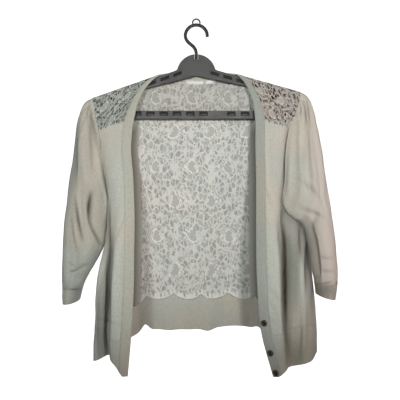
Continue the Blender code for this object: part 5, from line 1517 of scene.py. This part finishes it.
# The half section from the face's middle round the rim to the shank, in button radii and thicknesses
BUTTON_SECTION = (
    Turning(0.0, 0.45), Turning(0.3, 0.45), Turning(0.52, 0.5), Turning(0.62, 0.8), Turning(0.72, 1.0),
    Turning(0.86, 1.0), Turning(0.96, 0.86), Turning(1.0, 0.6), Turning(0.98, 0.35), Turning(0.86, 0.05),
    Turning(0.4, 0.0), Turning(0.3, -0.4 / BUTTON_THICK), Turning(0.0, -0.4 / BUTTON_THICK),
)
PIN_RADIUS = 0.02
ROUND_POINTS = 48
SECTION_POINTS = 60
for number, row in enumerate(BUTTON_ROWS, 1):
    near = front_surface(1, [row - 0.02, row, row + 0.02], [0.4, 0.5, 0.6])
    out = outward(near, -1)[1, 1]
    side_way = near[1, 2] - near[1, 0]
    side_way -= out * (side_way @ out)
    side_way /= np.linalg.norm(side_way)
    up_way = np.cross(out, side_way)
    section = np.array(BUTTON_SECTION) * (BUTTON_RADIUS, BUTTON_THICK)
    section[:, 0] = np.maximum(section[:, 0], PIN_RADIUS)
    knots = chord_knots(section)
    fine = smooth(knots, section, np.linspace(0, knots[-1], SECTION_POINTS))
    fine[:, 0] = np.maximum(fine[:, 0], PIN_RADIUS)
    angles = np.linspace(0, math.tau, ROUND_POINTS, endpoint=False)[None, :, None]
    spot = near[1, 1] + out * (BAND_LIFT + BUTTON_CLEAR)
    points = (spot + fine[:, None, :1] * (np.cos(angles) * side_way + np.sin(angles) * up_way)
              + fine[:, None, 1:] * out)
    ids = joined(np.arange(SECTION_POINTS * ROUND_POINTS).reshape(SECTION_POINTS, ROUND_POINTS), True)
    quads = np.stack([ids[:-1, :-1], ids[1:, :-1], ids[1:, 1:], ids[:-1, 1:]], axis=-1).reshape(-1, 4)
    rim = np.exp(-((fine[:, 0] / BUTTON_RADIUS - 0.82) / 0.13) ** 2) * (fine[:, 1] > 0.4 * BUTTON_THICK)
    rim = np.repeat(rim, ROUND_POINTS)
    piece = mesh_piece(f"button_{number}_disc", points.reshape(-1, 3), quads, BUTTON, {"rim": rim})
    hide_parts(f"button_{number}")
    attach(piece, "root")
print("buttons", len(BUTTON_ROWS))

# %% [markdown]
# The hanger is one satin grey moulding. Its slots are shallow recesses whose dark floor is painted shade, and
# each slot of the trouser bar keeps a small tongue at its lower middle, so plates of painted shade with
# tongues lie in the web.

# %% Hanger
BAR_SLOTS_X = (-123.8, -96, -68.2, -40.4, -12.6, 15.2, 73.3, 102.2, 131)
BAR_SLOTS_Z = -182.9
ARM_SLOTS_X = (39, 66, 93)
ARM_SLOTS_DROP = 8.8
TONGUE_Z = -184.6
FLOOR = dict(half_x=9.2, y=0.6, half_y=1.2)
TONGUE = dict(half_x=5.6, half_z=0.8, y=-0.4, half_y=0.9)


def box_points(x, z, half_x, half_z, y, half_y, slope=0.0):
    """Eight corners of a small block, its top and bottom sheared by the slope."""
    corners = np.array([(i, j, k) for i in (-1, 1) for j in (-1, 1) for k in (-1, 1)], float)
    points = corners * (half_x, half_y, half_z) + (x, y, z)
    points[:, 2] -= slope * (points[:, 0] - x)
    return points


def blocks(name, parts, material):
    """Small blocks joined in one piece."""
    quads = np.array([(0, 1, 3, 2), (4, 6, 7, 5), (0, 4, 5, 1), (2, 3, 7, 6), (0, 2, 6, 4), (1, 5, 7, 3)])
    points = np.concatenate(parts)
    faces = np.concatenate([quads + 8 * k for k in range(len(parts))])
    piece = mesh_piece(name, points, faces, material)
    piece.data.polygons.foreach_set("use_smooth", np.zeros(len(faces), bool))
    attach(piece, "root")
    return piece


floors = [box_points(x, BAR_SLOTS_Z, half_z=4.6, **FLOOR) for x in BAR_SLOTS_X]
for side in (-1, 1):
    slope = side * ARM_SLOPE[side]
    for x in (side * x for x in ARM_SLOTS_X):
        floors.append(box_points(x, arm_top(x) - ARM_SLOTS_DROP, half_z=3.8, slope=slope, **FLOOR))
# The slot floors are plates of painted shade.
blocks("slot_floors", floors, SLOT_SHADE)
blocks("slot_tongues", [box_points(x, TONGUE_Z, **TONGUE) for x in BAR_SLOTS_X], PLASTIC)
for node in ("hanger_body", "hanger_hook", "hook_eye"):
    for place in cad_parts[node].material_slots:
        place.material = PLASTIC
print("slots", len(floors))

# %% [markdown]
# The photograph is a cut-out on white, lit softly from the front. Two beams stand left and right of the
# camera, the right one stronger, with a weak fill in front, a warm one at the right and a faint cool one at
# the left. Two lights behind serve the hidden side. The backdrop is pale paper, and glows only far behind.

# %% Stage and light
WHITE = (1.0, 1.0, 1.0)
OFF_WHITE = (1.0, 0.99, 0.97)
FLOOR_Z = -1.5
SWEEP_Y = 1.8
SWEEP_RADIUS = 0.8
SWEEP_FRONT, SWEEP_TOP, SWEEP_HALF_WIDTH = -5.0, 4.0, 6.0


def stage_look(name, colour):
    """White paper that glows behind the garment and fades to plain paper in front of it."""
    nodes = Nodes(name)
    place = nodes.place()
    base = nodes.mix(nodes.noise(place, 3.0), rgb(colour), rgb(colour, 0.985))
    x, y, z = nodes.axes(place)
    glow = nodes.times(nodes.ramp(y, 1.2, 1.9), nodes.ramp(nodes.math("ABSOLUTE", x), 1.9, 1.42))
    glow = nodes.times(glow, nodes.ramp(z, 1.5, 1.05))
    return nodes.finish(Base_Color=base, Roughness=0.9, Emission_Color=rgb(WHITE), Emission_Strength=glow)


STAGE = stage_look("Stage", (0.8, 0.8, 0.8))
bend = [(SWEEP_Y + SWEEP_RADIUS * math.sin(a), FLOOR_Z + SWEEP_RADIUS * (1 - math.cos(a)))
        for a in np.linspace(0, math.pi / 2, 13)]
profile = [(SWEEP_FRONT, FLOOR_Z), *bend, (SWEEP_Y + SWEEP_RADIUS, SWEEP_TOP)]
corners = [(x, y, z) for y, z in profile for x in (-SWEEP_HALF_WIDTH, SWEEP_HALF_WIDTH)]
sweep_mesh = bpy.data.meshes.new("sweep")
sweep_mesh.from_pydata(corners, [], [(k, k + 1, k + 3, k + 2) for k in range(0, len(corners) - 2, 2)])
sweep_mesh.polygons.foreach_set("use_smooth", [True] * len(sweep_mesh.polygons))
sweep_mesh.materials.append(STAGE)
sweep = bpy.data.objects.new("sweep", sweep_mesh)
bpy.context.scene.collection.objects.link(sweep)


print("stage", len(corners), "points")


# %% [markdown]
# The lights, with places in metres, power in watts, and colours close to white.

# %% Lights
def lamp(name, kind, place, towards, power, colour, size, cone=None):
    """A soft light: a panel of the given size, or a beam with a cone in degrees that fades to its edge."""
    data = bpy.data.lights.new(name, kind)
    data.energy = power
    data.color = colour
    if kind == "SPOT":
        data.spot_size = math.radians(cone)
        data.spot_blend = 1.0
        data.shadow_soft_size = size
    else:
        data.size = size
    thing = bpy.data.objects.new(name, data)
    thing.location = place
    aim = np.array(towards, float) - np.array(place, float)
    aim /= np.linalg.norm(aim)
    thing.rotation_euler = (math.acos(-aim[2]), 0, math.atan2(aim[1], aim[0]) - math.pi / 2)
    bpy.context.scene.collection.objects.link(thing)


lamp("key right", "SPOT", (0.46, -1.95, -0.12), (0.02, 0, -0.26), 84, (1.0, 0.985, 0.955), 0.12, 35)
lamp("key left", "SPOT", (-0.42, -1.95, -0.08), (-0.02, 0, -0.26), 68, (0.97, 1.0, 0.985), 0.12, 35)
lamp("front fill", "AREA", (0.0, -2.6, -0.3), (0, 0, -0.35), 1.0, WHITE, 0.8)
lamp("warm fill", "AREA", (1.5, -1.3, -0.5), (0.25, 0, -0.40), 4.0, (1.0, 0.72, 0.62), 0.5)
lamp("cool fill", "AREA", (-1.6, -1.2, -0.3), (0, 0, -0.4), 0.4, (0.80, 1.0, 0.98), 0.7)
lamp("back light left", "AREA", (-1.3, 1.2, 0.3), (0, 0, -0.35), 7.0, OFF_WHITE, 0.7)
lamp("back light right", "AREA", (1.3, 1.2, 0.1), (0, 0, -0.4), 4.5, OFF_WHITE, 0.7)
world = bpy.data.worlds.new("Studio")
world.use_nodes = True
background = world.node_tree.nodes["Background"]
background.inputs["Color"].default_value = rgb(WHITE)
background.inputs["Strength"].default_value = 0.08
bpy.context.scene.world = world
bpy.context.scene.view_settings.view_transform = "Standard"
print("lights", len(bpy.data.lights))
